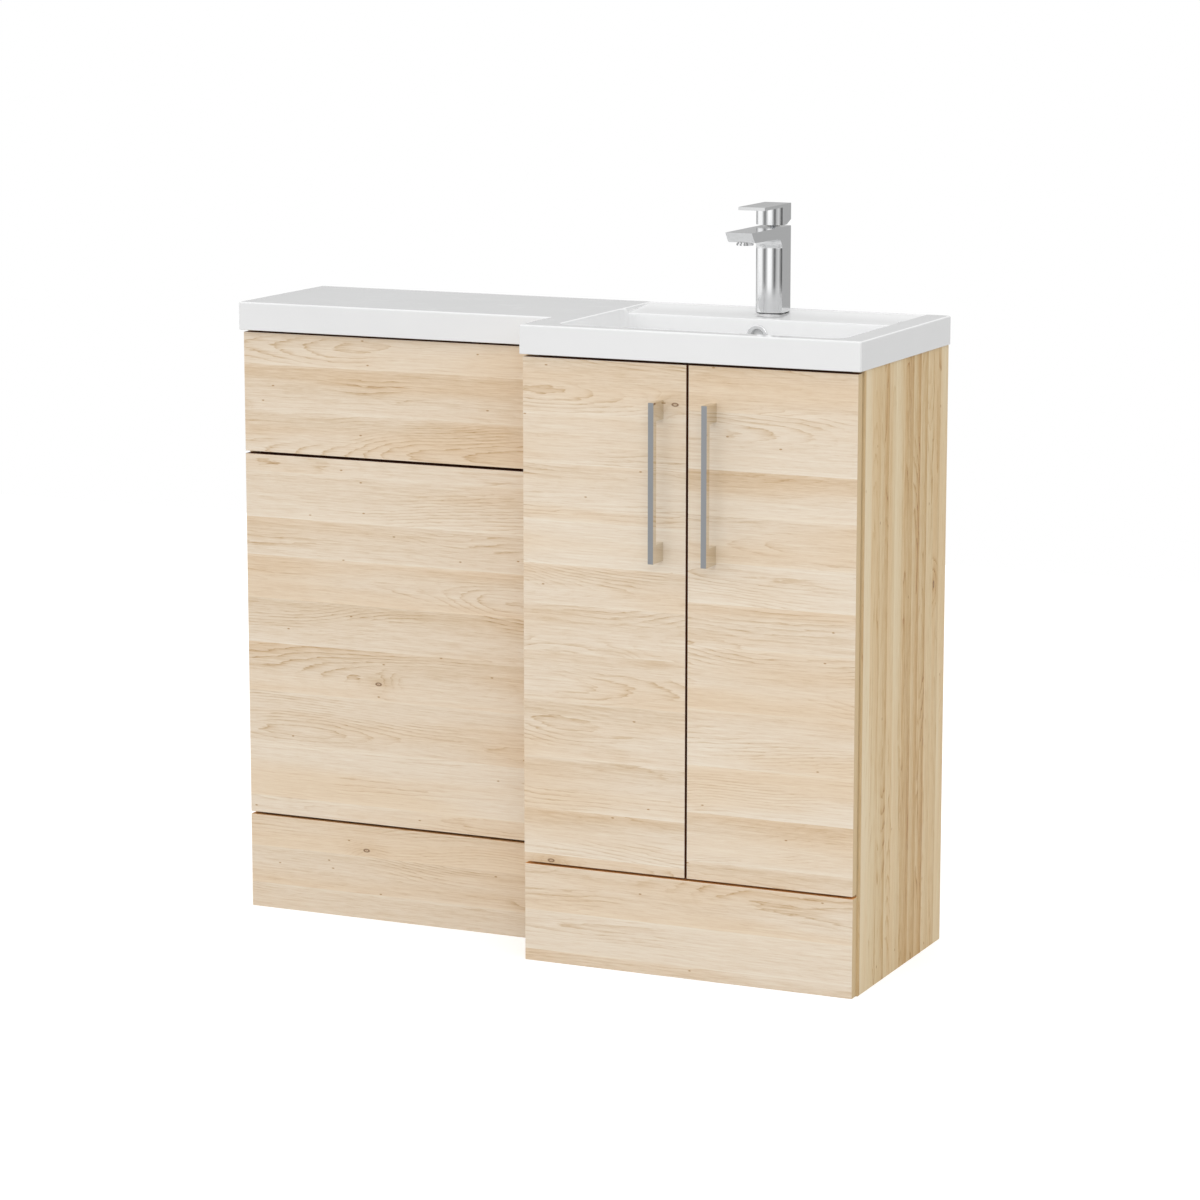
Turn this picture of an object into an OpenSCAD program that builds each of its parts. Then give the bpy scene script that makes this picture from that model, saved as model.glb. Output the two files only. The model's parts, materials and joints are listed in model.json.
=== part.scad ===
// Toilet and basin combination unit: a shallow back-to-wall toilet unit and a deeper
// two-door basin unit under one L-shaped cast top with a bowl and a mixer tap.
// Millimetres. +Z is up, -Y is the front and +X is the viewer's right.
// The origin is on the floor, under the middle of the outer box.
// The modules work from the back left corner of the toilet unit; in_frame() shifts them.

/* [Carcasses] */
// Width of the toilet unit
wc_w = 500; // [416:1:600]
// Width of the basin unit
vanity_w = 500; // [416:1:600]
// Height of both carcasses
carcass_h = 864; // [720:1:1040]
// Depth of the toilet carcass, without its fronts
wc_d = 228; // [190:1:274]
// Depth of the basin carcass, without its doors
vanity_d = 332; // [277:1:399]
// Thickness of the sides, the base and the shelf
board_t = 18; // [15:0.5:21.6]
// Thickness of the rails
rail_t = 16; // [13:0.5:19]
// Height of a rail on edge
rail_h = 80; // [66:1:96]
// Height of the top back rails, which take the wall fixings
back_rail_h = 100; // [84:1:120]
// Height of the rail in front of the bowl
front_rail_h = 40; // [34:1:48]
// Height of the shelf's top face over the base
shelf_rise = 240; // [200:1:288]
// Distance of the shelf's front edge behind the carcass front
shelf_setback = 42; // [35:1:60]

/* [Fronts] */
// Thickness of doors, panels and plinths
front_t = 16; // [13:0.5:19]
// Height of the plinths
plinth_h = 140.5; // [117:0.5:168]
// Gap between one front and the next
front_gap = 4; // [3:0.1:5]
// Gap between the fronts and the underside of the top
top_gap = 3.5; // [3:0.1:5]
// Gap between the two doors
door_gap = 3.5; // [3:0.1:5]
// Height of the lift-off access panel
access_h = 174.5; // [146:0.5:209]
// Distance of the toilet fronts' edges inside the carcass sides
wc_front_inset = 1.5; // [1:0.1:3]
// Distance of the doors' edges inside the carcass sides
door_inset = 2.5; // [1.5:0.1:3.5]
// Air between a closed door and the carcass, taken up by the bumpers
door_air = 1.5; // [1.4:0.1:2]

/* [Handles] */
// Length of a handle
handle_len = 222; // [185:1:266]
// Width of a handle across the door
handle_w = 8; // [7:0.1:9.6]
// Distance of the handle's face from the door
handle_proj = 34.5; // [29:0.5:41]
// Depth of the grip bar
handle_bar_d = 10; // [8:0.5:12]
// Height of a handle's foot
handle_foot_h = 26; // [22:0.5:31]
// Distance between a handle's screws
handle_pitch = 192; // [190:1:192]
// Distance of the handle's middle from the door's free edge
handle_inset = 37.5; // [31:0.5:45]
// Distance of the handle's end below the door's top
handle_drop = 49.5; // [41:0.5:60]

/* [Cast top] */
// Thickness of the top
top_t = 41; // [34:0.5:49]
// Overhang of the top at its left end
top_over_left = 1; // [0:0.5:5]
// Overhang of the top at its right end
top_over_right = 3; // [0:0.5:5]
// Overhang of the top over the toilet fronts
top_over_wc = 10; // [8:0.5:15]
// Overhang of the top over the doors
top_over_doors = 5.5; // [4:0.5:12]
// Width of the rim left of the bowl
rim_left = 45; // [38:0.5:54]
// Width of the rim right of the bowl
rim_right = 36.5; // [31:0.5:44]
// Width of the rim in front of the bowl
rim_front = 25; // [21:0.5:30]
// Width of the rim behind the tap deck
rim_back = 14; // [12:0.5:17]
// Distance of the bowl's back wall from the wall of the room
bowl_back = 98; // [88:0.5:118]
// Depth of the bowl
bowl_depth = 105; // [88:0.5:126]
// Wall of the bowl under the top
bowl_wall = 9; // [7.5:0.5:11]
// Slope of the bowl's back and side walls, in degrees
bowl_draft = 4.5; // [3:0.5:6]
// Radius of the bowl's upright corners
bowl_corner_r = 18; // [15:0.5:22]
// Radius round the bowl's floor
bowl_floor_r = 25; // [21:0.5:30]
// Depth of the tap deck below the rim at the tap
deck_drop = 2.5; // [2:0.1:3]
// Depth of the tap deck below the rim at the bowl
deck_lip_drop = 5.4; // [4.5:0.1:6.5]
// Depth of the overflow's middle below the rim
overflow_drop = 30; // [26:0.5:36]
// Radius of the overflow hole
overflow_r = 11; // [9:0.5:12]

/* [Tap] */
// Width of the tap
tap_w = 40; // [36:0.5:48]
// Distance of the tap's back from the wall of the room
tap_back = 26; // [22:0.5:28]
// Depth of the tap's flat sides
tap_side_d = 32; // [31:0.5:36]
// Bulge of the tap's front in front of its flat sides
tap_bulge = 7; // [6:0.5:8]
// Height of the tap's body
tap_h = 122; // [102:1:146]
// Reach of the spout in front of the tap's back
spout_reach = 146; // [122:1:175]
// Thickness of the spout at its tip
spout_t = 14.5; // [14:0.5:17]
// Height of the block under the lever
lever_block_h = 25; // [21:0.5:30]
// Thickness of the lever
lever_t = 4.5; // [4:0.5:5.5]
// Length of the lever
lever_len = 99; // [83:1:118]
// Gap between the lever's block and the tap's body
lever_gap = 2.5; // [2.2:0.1:3]
// Lift of the lever, in degrees
lever_lift = 20; // [15:1:20]
// Radius of the tap hole
tap_hole_r = 17.5; // [17:0.1:18]

/* [Waste and trap] */
// Outer radius of the waste's tail
waste_r = 20.9; // [20:0.1:21]
// Length of the waste below its flange
waste_len = 66; // [62:1:79]
// Outer radius of the trap's pipes
pipe_r = 16; // [14:0.5:17]
// Height of the trap's bottle
bottle_h = 84; // [70:1:100]
// Outer radius of the trap's bottle
bottle_r = 29; // [27:0.5:34]

/* [Hidden] */
$fn = 48;

// Clearances
eps = 1;              // how far a cut runs past a face
fit = 0.05;           // round fastener in its hole
loose = 0.3;          // parts that move past each other
shelf_play = 0.5;     // shelf to each side

// Colours of the finishes
oak = [0.89, 0.81, 0.71];
cast = [0.92, 0.92, 0.92];
chrome = [0.75, 0.76, 0.78];
steel = [0.6, 0.61, 0.63];
plastic = [0.93, 0.93, 0.92];
rubber = [0.13, 0.13, 0.14];
brass = [0.8, 0.66, 0.35];
beech = [0.8, 0.66, 0.48];

// Carcass planes
wc_face = -wc_d;
vanity_face = -vanity_d;
van_x0 = wc_w;
van_x1 = wc_w + vanity_w;
van_mid = wc_w + vanity_w / 2;
access_z0 = carcass_h - top_gap - access_h;
middle_z1 = access_z0 - front_gap;
middle_z0 = plinth_h + front_gap;
low_seam = plinth_h + front_gap / 2;
access_seam = access_z0 - front_gap / 2;
base_z0 = low_seam - board_t / 2;
base_z1 = base_z0 + board_t;
shelf_z1 = base_z1 + shelf_rise;
shelf_z0 = shelf_z1 - board_t;
shelf_y0 = vanity_face + shelf_setback;
shelf_y1 = -rail_t - 4;

// Dowels: 8 by 30, a third in the side and the rest in the rail
dowel_r = 4;
dowel_side = 11;
dowel_rail = 19;
dowel_end = 20;       // from a rail's edge to its dowel
wc_dowels = concat(
    [for (dy = [dowel_end, rail_h - dowel_end]) [wc_face + dy, carcass_h - rail_t / 2]],
    [for (dz = [dowel_end, back_rail_h - dowel_end]) [-rail_t / 2, carcass_h - dz]],
    [for (s = [access_seam, low_seam], d = [-1, 1])
        [wc_face + rail_t / 2, s + d * (rail_h / 2 - dowel_end * 0.8)]]
);
vanity_dowels = concat(
    [for (k = [0.15, 0.5, 0.85]) [vanity_face * k, (base_z0 + base_z1) / 2]],
    [for (k = [0.27, 0.73]) [vanity_face + rail_t / 2, carcass_h - front_rail_h * k]],
    [for (dz = [dowel_end, back_rail_h - dowel_end]) [-rail_t / 2, carcass_h - dz]],
    [for (dz = [dowel_end, rail_h - dowel_end]) [-rail_t / 2, base_z1 + dz]]
);

// Screws: 3.5 by 12 countersunk into pilot holes
screw_r = 1.75;
screw_len = 12;
screw_head_r = 3.4;
screw_head_h = 2;

// Corner brackets between the sides and the fixed fronts
bracket_t = 3;
bracket_leg = 24;
bracket_w = 18;
bracket_hole = 15;    // from the corner to the screw
wc_bracket_z = [plinth_h / 2, plinth_h + 160, access_z0 - 130];
vanity_bracket_z = [plinth_h / 2];

// Bolts that join the two carcasses
join_r = 4;
join_core_r = 3;
join_head_r = 7.5;
join_head_h = 2;
join_spots = [for (dy = [-60, -60 - (wc_d - 108)], z = [base_z1 + 100, carcass_h - 124]) [dy, z]];

// Lift-off clips of the access panel
clip_r = 4;
clip_socket_r = 5;
clip_ball_r = 3;
clip_depth = 11;
clip_reach = 8;
clip_spots = [for (x = [board_t / 2, wc_w - board_t / 2], z = [access_z0 + 50, access_z0 + 150]) [x, z]];

// Wall fixings through the back rails
wall_hole_r = 3.5;
wall_hole_pitch = 320;
wall_hole_z = carcass_h - back_rail_h / 2;

// Shelf pins
pin_r = 2.5;
pin_in = 9;
pin_out = 8;
pin_spots = [for (y = [shelf_y0 + 35, shelf_y1 - 35]) [y, shelf_z0 - pin_r - fit]];

// Doors
door_x0 = van_x0 + door_inset;
door_x1 = van_mid - door_gap / 2;
door_z0 = plinth_h + front_gap;
door_z1 = carcass_h - top_gap;
door_back = vanity_face - door_air;
door_face = door_back - front_t;
bumper_r = 3;
bumper_t = door_air - 0.1;

// Concealed hinges: 35 mm cups 5 mm from the door's edge, plates 37 mm behind the front
cup_r = 17.5;
cup_edge = 5;
cup_depth = 11.5;
cup_wall = 1.6;
cup_flange_t = 1.2;
cup_x = door_x0 + cup_edge + cup_r;
hinge_from_end = 100;
hinge_z = [door_z0 + hinge_from_end, door_z1 - hinge_from_end];
plate_t = 2.5;
plate_back = 37;
plate_pitch = 32;
plate_wing_w = 14;
plate_wing_h = 46;
plate_len = 40;
arm_w = 12;           // across the cupboard
arm_h = 15;
arm_in_cup = 7;
arm_len = 52;         // behind the carcass front
arm_wall = 2;

// Handles
handle_x = door_x1 - handle_inset;
handle_z1 = door_z1 - handle_drop;
handle_z0 = handle_z1 - handle_len;
handle_mid_z = (handle_z0 + handle_z1) / 2;
handle_front = door_face - handle_proj;
handle_screw_r = 2;
handle_screw_in = 12;
handle_head_r = 4;
handle_head_h = 2.4;

// Cast top
top_z0 = carcass_h;
top_z1 = carcass_h + top_t;
top_x0 = -top_over_left;
top_x1 = van_x1 + top_over_right;
top_front_wc = wc_face - front_t - top_over_wc;
top_front = door_face - top_over_doors;
step_x = wc_w - top_over_left;
bowl_x0 = step_x + rim_left;
bowl_x1 = top_x1 - rim_right;
bowl_y0 = top_front + rim_front;
bowl_y1 = -bowl_back;
floor_z = top_z1 - bowl_depth;
// The front wall leans back so that its shell clears the rail under the top
shell_clear = 1.5;
bowl_run = (vanity_face + rail_t + shell_clear + bowl_wall) - bowl_y0;
bowl_rake = atan(bowl_run / top_t);
floor_y0 = bowl_y0 + bowl_depth * tan(bowl_rake);
floor_y1 = bowl_y1 - bowl_depth * tan(bowl_draft);
deck_z = top_z1 - deck_drop;
landing_y = -(tap_back + tap_side_d + tap_bulge + 3);

// Waste, on the tap's centre line and in the middle of the bowl's floor
waste_x = van_mid;
waste_y = (floor_y0 + floor_y1) / 2;
flange_r = 31.5;
flange_t = 2;
seat_drop = 2;
seat_z = floor_z - seat_drop;
seal_t = 1;
flange_z0 = seat_z + seal_t;
flange_z1 = flange_z0 + flange_t;
waste_bore_r = waste_r - 3.5;
waste_z0 = flange_z0 - waste_len;
shell_z0 = floor_z - bowl_wall;
collar_h = 14;
collar_z1 = shell_z0 - seal_t;
collar_z0 = collar_z1 - collar_h;
collar_r = 32;
collar_wall = 2.5;
backnut_h = 8;
backnut_z1 = collar_z0 - 2 * seal_t;
backnut_z0 = backnut_z1 - backnut_h;
backnut_r = 31;
plug_r = 30;
plug_t = 4;
plug_stem_r = 4;
plug_stem_len = 34;
plug_lift = 8;
hub_r = 7;
hub_h = 10;
hub_z1 = flange_z1 - 18;

// Overflow
overflow_z = top_z1 - overflow_drop;
overflow_ring_r = 15.4;
overflow_ring_t = 2.5;
overflow_bore_r = overflow_r - 1.5;
duct_w = 30;
duct_d = 15;
duct_wall = 2;
duct_y0 = bowl_y1 - (top_t * tan(bowl_draft)) + bowl_wall + 0.8;
duct_y1 = duct_y0 + duct_d;

// Trap, hung on the waste's tail
trap_lip = 3;
trap_in_z = waste_z0 - seal_t;
inlet_nut_h = 26;
nut_wall = 5;
neck_len = 30;
bottle_z1 = trap_in_z - neck_len;
bottle_z0 = bottle_z1 - bottle_h;
bottle_wall = 2.5;
dip_len = bottle_h - 22;
outlet_z = bottle_z1 - 16;
cup_z1 = outlet_z - pipe_r - 4;
outlet_len = 46;
outlet_end = waste_y + bottle_r + outlet_len;
outlet_nut_h = 22;
pipe_bore_r = pipe_r - 2;
spigot_r = pipe_r - 0.5;
pipe_in = 18;
pipe_shoulder = outlet_end + 8.5;
pipe_end = -2;

// Tap
tap_x = van_mid;
gasket_t = 1;
tap_z0 = deck_z + gasket_t;
tap_z1 = tap_z0 + tap_h;
tap_side_y = -(tap_back + tap_side_d);
tap_apex_y = tap_side_y - tap_bulge;
tap_front_r = (tap_w * tap_w / 4 + tap_bulge * tap_bulge) / (2 * tap_bulge);
tap_hole_y = -tap_back - 19;
axis_y = -tap_back - 18;
tip_y = -tap_back - spout_reach;
spout_root_t = spout_t + 2;
spout_fillet = 15;
spout_root_y = tap_side_y + 3;
tip_rake = 11.5;
aerator_r = 10.5;
aerator_ring_r = 12;
aerator_ring_h = 3.5;
aerator_y = tip_y + 24;
way_r = 4.5;
inlet_r = 5;
inlet_lead_r = 5.6;
inlet_z0 = tap_z0 + 2;
inlet_len = 12;
inlet_dx = 8.5;
inlet_y = tap_hole_y - 5;
port_dx = inlet_dx * 0.6;   // waterways from the inlets into the cartridge
port_r = 2.4;
stud_r = 4;
stud_in = 14;
stud_y = tap_hole_y + 12;
stud_z0 = top_z0 - 30;
clamp_r = 22.5;
clamp_t = 2.5;
clamp_slot_w = 28;
pad_t = 2;

// Cartridge, under the lever
seat_depth = 40.5;
cart_r = 12.5;
cart_bore_r = 9.15;
cart_floor = 4;
cart_z0 = tap_z1 - seat_depth;
cart_z1 = cart_z0 + 32;
cart_nut_bore_r = 9.8;
disc_r = 9;
disc_t = 6;
carrier_r = 9.05;
carrier_z0 = cart_z0 + cart_floor + 2 * disc_t;
pivot_z = cart_z1 - 7;
stem_r = 3.5;
slot_w = 2 * stem_r + 0.4;
tilt_pin_r = 1.25;
tilt_pin_len = 15;
lever_z0 = tap_z1 + lever_gap;
lever_z1 = lever_z0 + lever_block_h;
lever_chamfer_y = axis_y + 2;
lever_chamfer = lever_lift + 2;
stem_z1 = lever_z0 + 18;
grub_r = 2.5;
grub_z = lever_z0 + 12;
grub_in = 4;

// Outer box, from which the origin is set
box_mid_x = (top_x0 + top_x1) / 2;
box_mid_y = handle_front / 2;

// ---------------------------------------------------------------- helpers

module in_frame() translate([-box_mid_x, -box_mid_y, 0]) children();

module mirrored() translate([2 * van_mid, 0, 0]) mirror([1, 0, 0]) children();

module wc_mirrored() translate([wc_w, 0, 0]) mirror([1, 0, 0]) children();

module board(low, high) translate(low) cube(high - low);

module rod_x(x0, x1, y, z, r) translate([x0, y, z]) rotate([0, 90, 0]) cylinder(h = x1 - x0, r = r);

module rod_y(y0, y1, x, z, r) translate([x, y0, z]) rotate([-90, 0, 0]) cylinder(h = y1 - y0, r = r);

module rod_z(z0, z1, x, y, r) translate([x, y, z0]) cylinder(h = z1 - z0, r = r);

// A profile drawn in (y, z), carried along X
module across(x0, x1) translate([x0, 0, 0]) rotate([90, 0, 90]) linear_extrude(x1 - x0) children();

// A profile drawn in (x, z), carried along Y
module through(y0, y1) translate([0, y1, 0]) rotate([90, 0, 0]) linear_extrude(y1 - y0) children();

function unit(v) = v / norm(v);

// The arc that rounds corner p between a and b with radius r
function round_corner(a, p, b, r, n = 6) =
    r == 0 ? [p] :
    let (
        u = unit(a - p), v = unit(b - p), half = acos(u * v) / 2,
        c = p + unit(u + v) * r / sin(half),
        s = p + u * r / tan(half) - c, e = p + v * r / tan(half) - c,
        a0 = atan2(s.y, s.x), raw = atan2(e.y, e.x) - a0,
        turn = raw > 180 ? raw - 360 : raw < -180 ? raw + 360 : raw
    )
    [for (i = [0:n]) c + r * [cos(a0 + turn * i / n), sin(a0 + turn * i / n)]];

// A closed outline whose corner i has radius radii[i]
function outline(pts, radii) =
    let (n = len(pts))
    [for (i = [0:n - 1]) each round_corner(pts[(i + n - 1) % n], pts[i], pts[(i + 1) % n], radii[i])];

// ---------------------------------------------------------------- fasteners

module dowel_bores(spots, face, dir, depth)
    for (p = spots) rod_x(face - (dir > 0 ? eps : depth), face + (dir > 0 ? depth : eps), p.x, p.y,
        dowel_r + fit);

// Pilot holes in a side board for the corner brackets, on the face at x
module bracket_pilots(x, front, zs)
    for (z = zs) rod_x(x - screw_len + bracket_t - fit, x + eps, front + bracket_hole, z, screw_r + fit);

// Pilot holes in the back of a fixed front
module front_pilots(x, front, zs)
    for (z = zs) rod_y(front - screw_len + bracket_t - fit, front + eps, x + bracket_hole, z,
        screw_r + fit);

module corner_bracket(x, front, z) difference() {
    across_z = z - bracket_w / 2;
    union() {
        translate([x, front, across_z]) cube([bracket_t, bracket_leg, bracket_w]);
        translate([x, front, across_z]) cube([bracket_leg, bracket_t, bracket_w]);
    }
    rod_x(x - eps, x + bracket_t + eps, front + bracket_hole, z, screw_r + fit);
    rod_y(front - eps, front + bracket_t + eps, x + bracket_hole, z, screw_r + fit);
}

// A screw along -X whose head's underside is at x
module screw_x(x, y, z) {
    rod_x(x - screw_len, x, y, z, screw_r);
    rod_x(x, x + screw_head_h, y, z, screw_head_r);
}

// A screw along -Y whose head's underside is at y
module screw_y(x, y, z) {
    rod_y(y - screw_len, y, x, z, screw_r);
    rod_y(y, y + screw_head_h, x, z, screw_head_r);
}

module bracket_set(x, front, zs) for (z = zs) {
    screw_x(x + bracket_t, front + bracket_hole, z);
    screw_y(x + bracket_hole, front + bracket_t, z);
}

module join_bores(x0, x1) for (p = join_spots) rod_x(x0 - eps, x1 + eps, p.x, p.y, join_r + fit);

// ---------------------------------------------------------------- toilet unit

module wc_side() difference() {
    board([0, wc_face, 0], [board_t, 0, carcass_h]);
    dowel_bores(wc_dowels, board_t, -1, dowel_side + fit);
    bracket_pilots(board_t, wc_face, wc_bracket_z);
    for (p = clip_spots) if (p.x < wc_w / 2)
        rod_y(wc_face - eps, wc_face + clip_depth + fit, p.x, p.y, clip_socket_r + fit);
}

module wc_side_left() color(oak) in_frame() wc_side();

module wc_side_right() color(oak) in_frame() difference() {
    wc_mirrored() wc_side();
    join_bores(wc_w - board_t, wc_w);
}

// A rail between two sides, drilled at both ends for the dowels that fall in it
module rail(x0, x1, low, high, spots) difference() {
    board([x0, low.x, low.y], [x1, high.x, high.y]);
    for (p = spots) if (p.x > low.x && p.x < high.x && p.y > low.y && p.y < high.y) {
        rod_x(x0 - eps, x0 + dowel_rail + fit, p.x, p.y, dowel_r + fit);
        rod_x(x1 - dowel_rail - fit, x1 + eps, p.x, p.y, dowel_r + fit);
    }
}

module wc_rail(low, high) rail(board_t, wc_w - board_t, low, high, wc_dowels);

module wc_top_rail() color(oak) in_frame()
    wc_rail([wc_face, carcass_h - rail_t], [wc_face + rail_h, carcass_h]);

module wc_back_rail() color(oak) in_frame() difference() {
    wc_rail([-rail_t, carcass_h - back_rail_h], [0, carcass_h]);
    wall_holes(wc_w / 2);
}

module wc_middle_rail() color(oak) in_frame()
    wc_rail([wc_face, access_seam - rail_h / 2], [wc_face + rail_t, access_seam + rail_h / 2]);

module wc_lower_rail() color(oak) in_frame()
    wc_rail([wc_face, low_seam - rail_h / 2], [wc_face + rail_t, low_seam + rail_h / 2]);

module wall_holes(x) for (s = [-1, 1])
    rod_y(-rail_t - eps, eps, x + s * wall_hole_pitch / 2, wall_hole_z, wall_hole_r);

module wc_front(z0, z1)
    board([wc_front_inset, wc_face - front_t, z0], [wc_w - wc_front_inset, wc_face, z1]);

module wc_access_panel() color(oak) in_frame() difference() {
    wc_front(access_z0, access_z0 + access_h);
    for (p = clip_spots) rod_y(wc_face - clip_depth - fit, wc_face + eps, p.x, p.y, clip_r + fit);
}

module wc_middle_panel() color(oak) in_frame() difference() {
    wc_front(middle_z0, middle_z1);
    wc_front_pilots([wc_bracket_z[1], wc_bracket_z[2]]);
}

module wc_plinth() color(oak) in_frame() difference() {
    wc_front(0, plinth_h);
    wc_front_pilots([wc_bracket_z[0]]);
}

module wc_front_pilots(zs) {
    front_pilots(board_t, wc_face, zs);
    wc_mirrored() front_pilots(board_t, wc_face, zs);
}

// Ball studs pressed into the access panel
module access_clip_studs() color(plastic) in_frame() for (p = clip_spots) {
    rod_y(wc_face - clip_depth, wc_face, p.x, p.y, clip_r);
    rod_y(wc_face, wc_face + clip_reach - clip_ball_r, p.x, p.y, clip_ball_r * 0.6);
    translate([p.x, wc_face + clip_reach - clip_ball_r, p.y]) sphere(r = clip_ball_r, $fn = 24);
}

// Sockets pressed into the sides' front edges
module access_clip_sockets() color(plastic) in_frame() for (p = clip_spots) difference() {
    rod_y(wc_face, wc_face + clip_depth, p.x, p.y, clip_socket_r);
    rod_y(wc_face - eps, wc_face + clip_reach + loose, p.x, p.y, clip_ball_r + loose);
}

// ---------------------------------------------------------------- basin unit

module vanity_side() difference() {
    board([van_x0, vanity_face, 0], [van_x0 + board_t, 0, carcass_h]);
    dowel_bores(vanity_dowels, van_x0 + board_t, -1, dowel_side + fit);
    bracket_pilots(van_x0 + board_t, vanity_face, vanity_bracket_z);
    for (p = pin_spots)
        rod_x(van_x0 + board_t - pin_in - fit, van_x0 + board_t + eps, p.x, p.y, pin_r + fit);
    for (z = hinge_z, s = [-1, 1])
        rod_x(van_x0 + board_t - screw_len + plate_t - fit, van_x0 + board_t + eps,
            vanity_face + plate_back, z + s * plate_pitch / 2, screw_r + fit);
}

module vanity_side_left() color(oak) in_frame() difference() {
    vanity_side();
    join_bores(van_x0, van_x0 + board_t);
}

module vanity_side_right() color(oak) in_frame() mirrored() vanity_side();

module vanity_rail(low, high)
    rail(van_x0 + board_t, van_x1 - board_t, low, high, vanity_dowels);

module vanity_base() color(oak) in_frame() vanity_rail([vanity_face, base_z0], [0, base_z1]);

module vanity_front_rail() color(oak) in_frame()
    vanity_rail([vanity_face, carcass_h - front_rail_h], [vanity_face + rail_t, carcass_h]);

module vanity_back_rail_upper() color(oak) in_frame() difference() {
    vanity_rail([-rail_t, carcass_h - back_rail_h], [0, carcass_h]);
    wall_holes(van_mid);
}

module vanity_back_rail_lower() color(oak) in_frame()
    vanity_rail([-rail_t, base_z1], [0, base_z1 + rail_h]);

module vanity_shelf() color(oak) in_frame()
    board([van_x0 + board_t + shelf_play, shelf_y0, shelf_z0],
        [van_x1 - board_t - shelf_play, shelf_y1, shelf_z1]);

module shelf_pins() color(steel) in_frame() {
    side_pins();
    mirrored() side_pins();
}

module side_pins() for (p = pin_spots)
    rod_x(van_x0 + board_t - pin_in, van_x0 + board_t + pin_out, p.x, p.y, pin_r);

module vanity_plinth() color(oak) in_frame() difference() {
    board([door_x0, vanity_face - front_t, 0], [van_x1 - door_inset, vanity_face, plinth_h]);
    front_pilots(van_x0 + board_t, vanity_face, vanity_bracket_z);
    mirrored() front_pilots(van_x0 + board_t, vanity_face, vanity_bracket_z);
}

module carcass_dowels() color(beech) in_frame() {
    side_dowels(board_t, wc_dowels);
    wc_mirrored() side_dowels(board_t, wc_dowels);
    side_dowels(van_x0 + board_t, vanity_dowels);
    mirrored() side_dowels(van_x0 + board_t, vanity_dowels);
}

module side_dowels(x, spots)
    for (p = spots) rod_x(x - dowel_side, x + dowel_rail, p.x, p.y, dowel_r);

module panel_brackets() color(plastic) in_frame() {
    wc_brackets();
    wc_mirrored() wc_brackets();
    vanity_brackets();
    mirrored() vanity_brackets();
}

module wc_brackets() for (z = wc_bracket_z) corner_bracket(board_t, wc_face, z);

module vanity_brackets() for (z = vanity_bracket_z)
    corner_bracket(van_x0 + board_t, vanity_face, z);

module carcass_screws() color(steel) in_frame() {
    bracket_set(board_t, wc_face, wc_bracket_z);
    wc_mirrored() bracket_set(board_t, wc_face, wc_bracket_z);
    vanity_screws();
    mirrored() vanity_screws();
}

module vanity_screws() {
    bracket_set(van_x0 + board_t, vanity_face, vanity_bracket_z);
    for (z = hinge_z, s = [-1, 1])
        screw_x(van_x0 + board_t + plate_t, vanity_face + plate_back, z + s * plate_pitch / 2);
}

// A sleeve with its head in the basin unit and a screw with its head in the toilet unit
module joining_bolts() color(steel) in_frame() for (p = join_spots) {
    difference() {
        union() {
            rod_x(wc_w - board_t + 2, wc_w + board_t, p.x, p.y, join_r);
            rod_x(wc_w + board_t, wc_w + board_t + join_head_h, p.x, p.y, join_head_r);
        }
        rod_x(wc_w - board_t - eps, wc_w + board_t / 2 + fit, p.x, p.y, join_core_r + fit);
    }
    rod_x(wc_w - board_t, wc_w + board_t / 2, p.x, p.y, join_core_r);
    rod_x(wc_w - board_t - join_head_h, wc_w - board_t, p.x, p.y, join_head_r);
}

// ---------------------------------------------------------------- doors

module door() difference() {
    board([door_x0, door_face, door_z0], [door_x1, door_back, door_z1]);
    for (z = hinge_z)
        rod_y(door_back - cup_depth - fit, door_back + eps, cup_x, z, cup_r + fit);
    for (s = [-1, 1])
        rod_y(door_face - eps, door_back + eps, handle_x, handle_mid_z + s * handle_pitch / 2,
            handle_screw_r + fit);
}

module left_door() color(oak) in_frame() door();

module right_door() color(oak) in_frame() mirrored() door();

// A bow of flat bar: a grip between two tall feet
module handle() difference() {
    board([handle_x - handle_w / 2, handle_front, handle_z0],
        [handle_x + handle_w / 2, door_face, handle_z1]);
    board([handle_x - handle_w / 2 - eps, handle_front + handle_bar_d, handle_z0 + handle_foot_h],
        [handle_x + handle_w / 2 + eps, door_face + eps, handle_z1 - handle_foot_h]);
    for (s = [-1, 1])
        rod_y(door_face - handle_screw_in - fit, door_face + eps, handle_x,
            handle_mid_z + s * handle_pitch / 2, handle_screw_r + fit);
}

module left_handle() color(chrome) in_frame() handle();

module right_handle() color(chrome) in_frame() mirrored() handle();

module handle_screws() for (s = [-1, 1]) {
    z = handle_mid_z + s * handle_pitch / 2;
    rod_y(door_face - handle_screw_in, door_back, handle_x, z, handle_screw_r);
    rod_y(door_back, door_back + handle_head_h, handle_x, z, handle_head_r);
}

module left_handle_screws() color(steel) in_frame() handle_screws();

module right_handle_screws() color(steel) in_frame() mirrored() handle_screws();

module hinge_cups() for (z = hinge_z) difference() {
    union() {
        rod_y(door_back - cup_depth, door_back, cup_x, z, cup_r);
        rod_y(door_back, door_back + cup_flange_t, cup_x, z, cup_r);
        translate([cup_x - 6, door_back, z - plate_pitch / 2 - 6])
            cube([13, cup_flange_t, plate_pitch + 12]);
    }
    rod_y(door_back - cup_depth + cup_wall, door_back + cup_flange_t + eps, cup_x, z,
        cup_r - cup_wall);
}

module left_hinge_cups() color(steel) in_frame() hinge_cups();

module right_hinge_cups() color(steel) in_frame() mirrored() hinge_cups();

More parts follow.
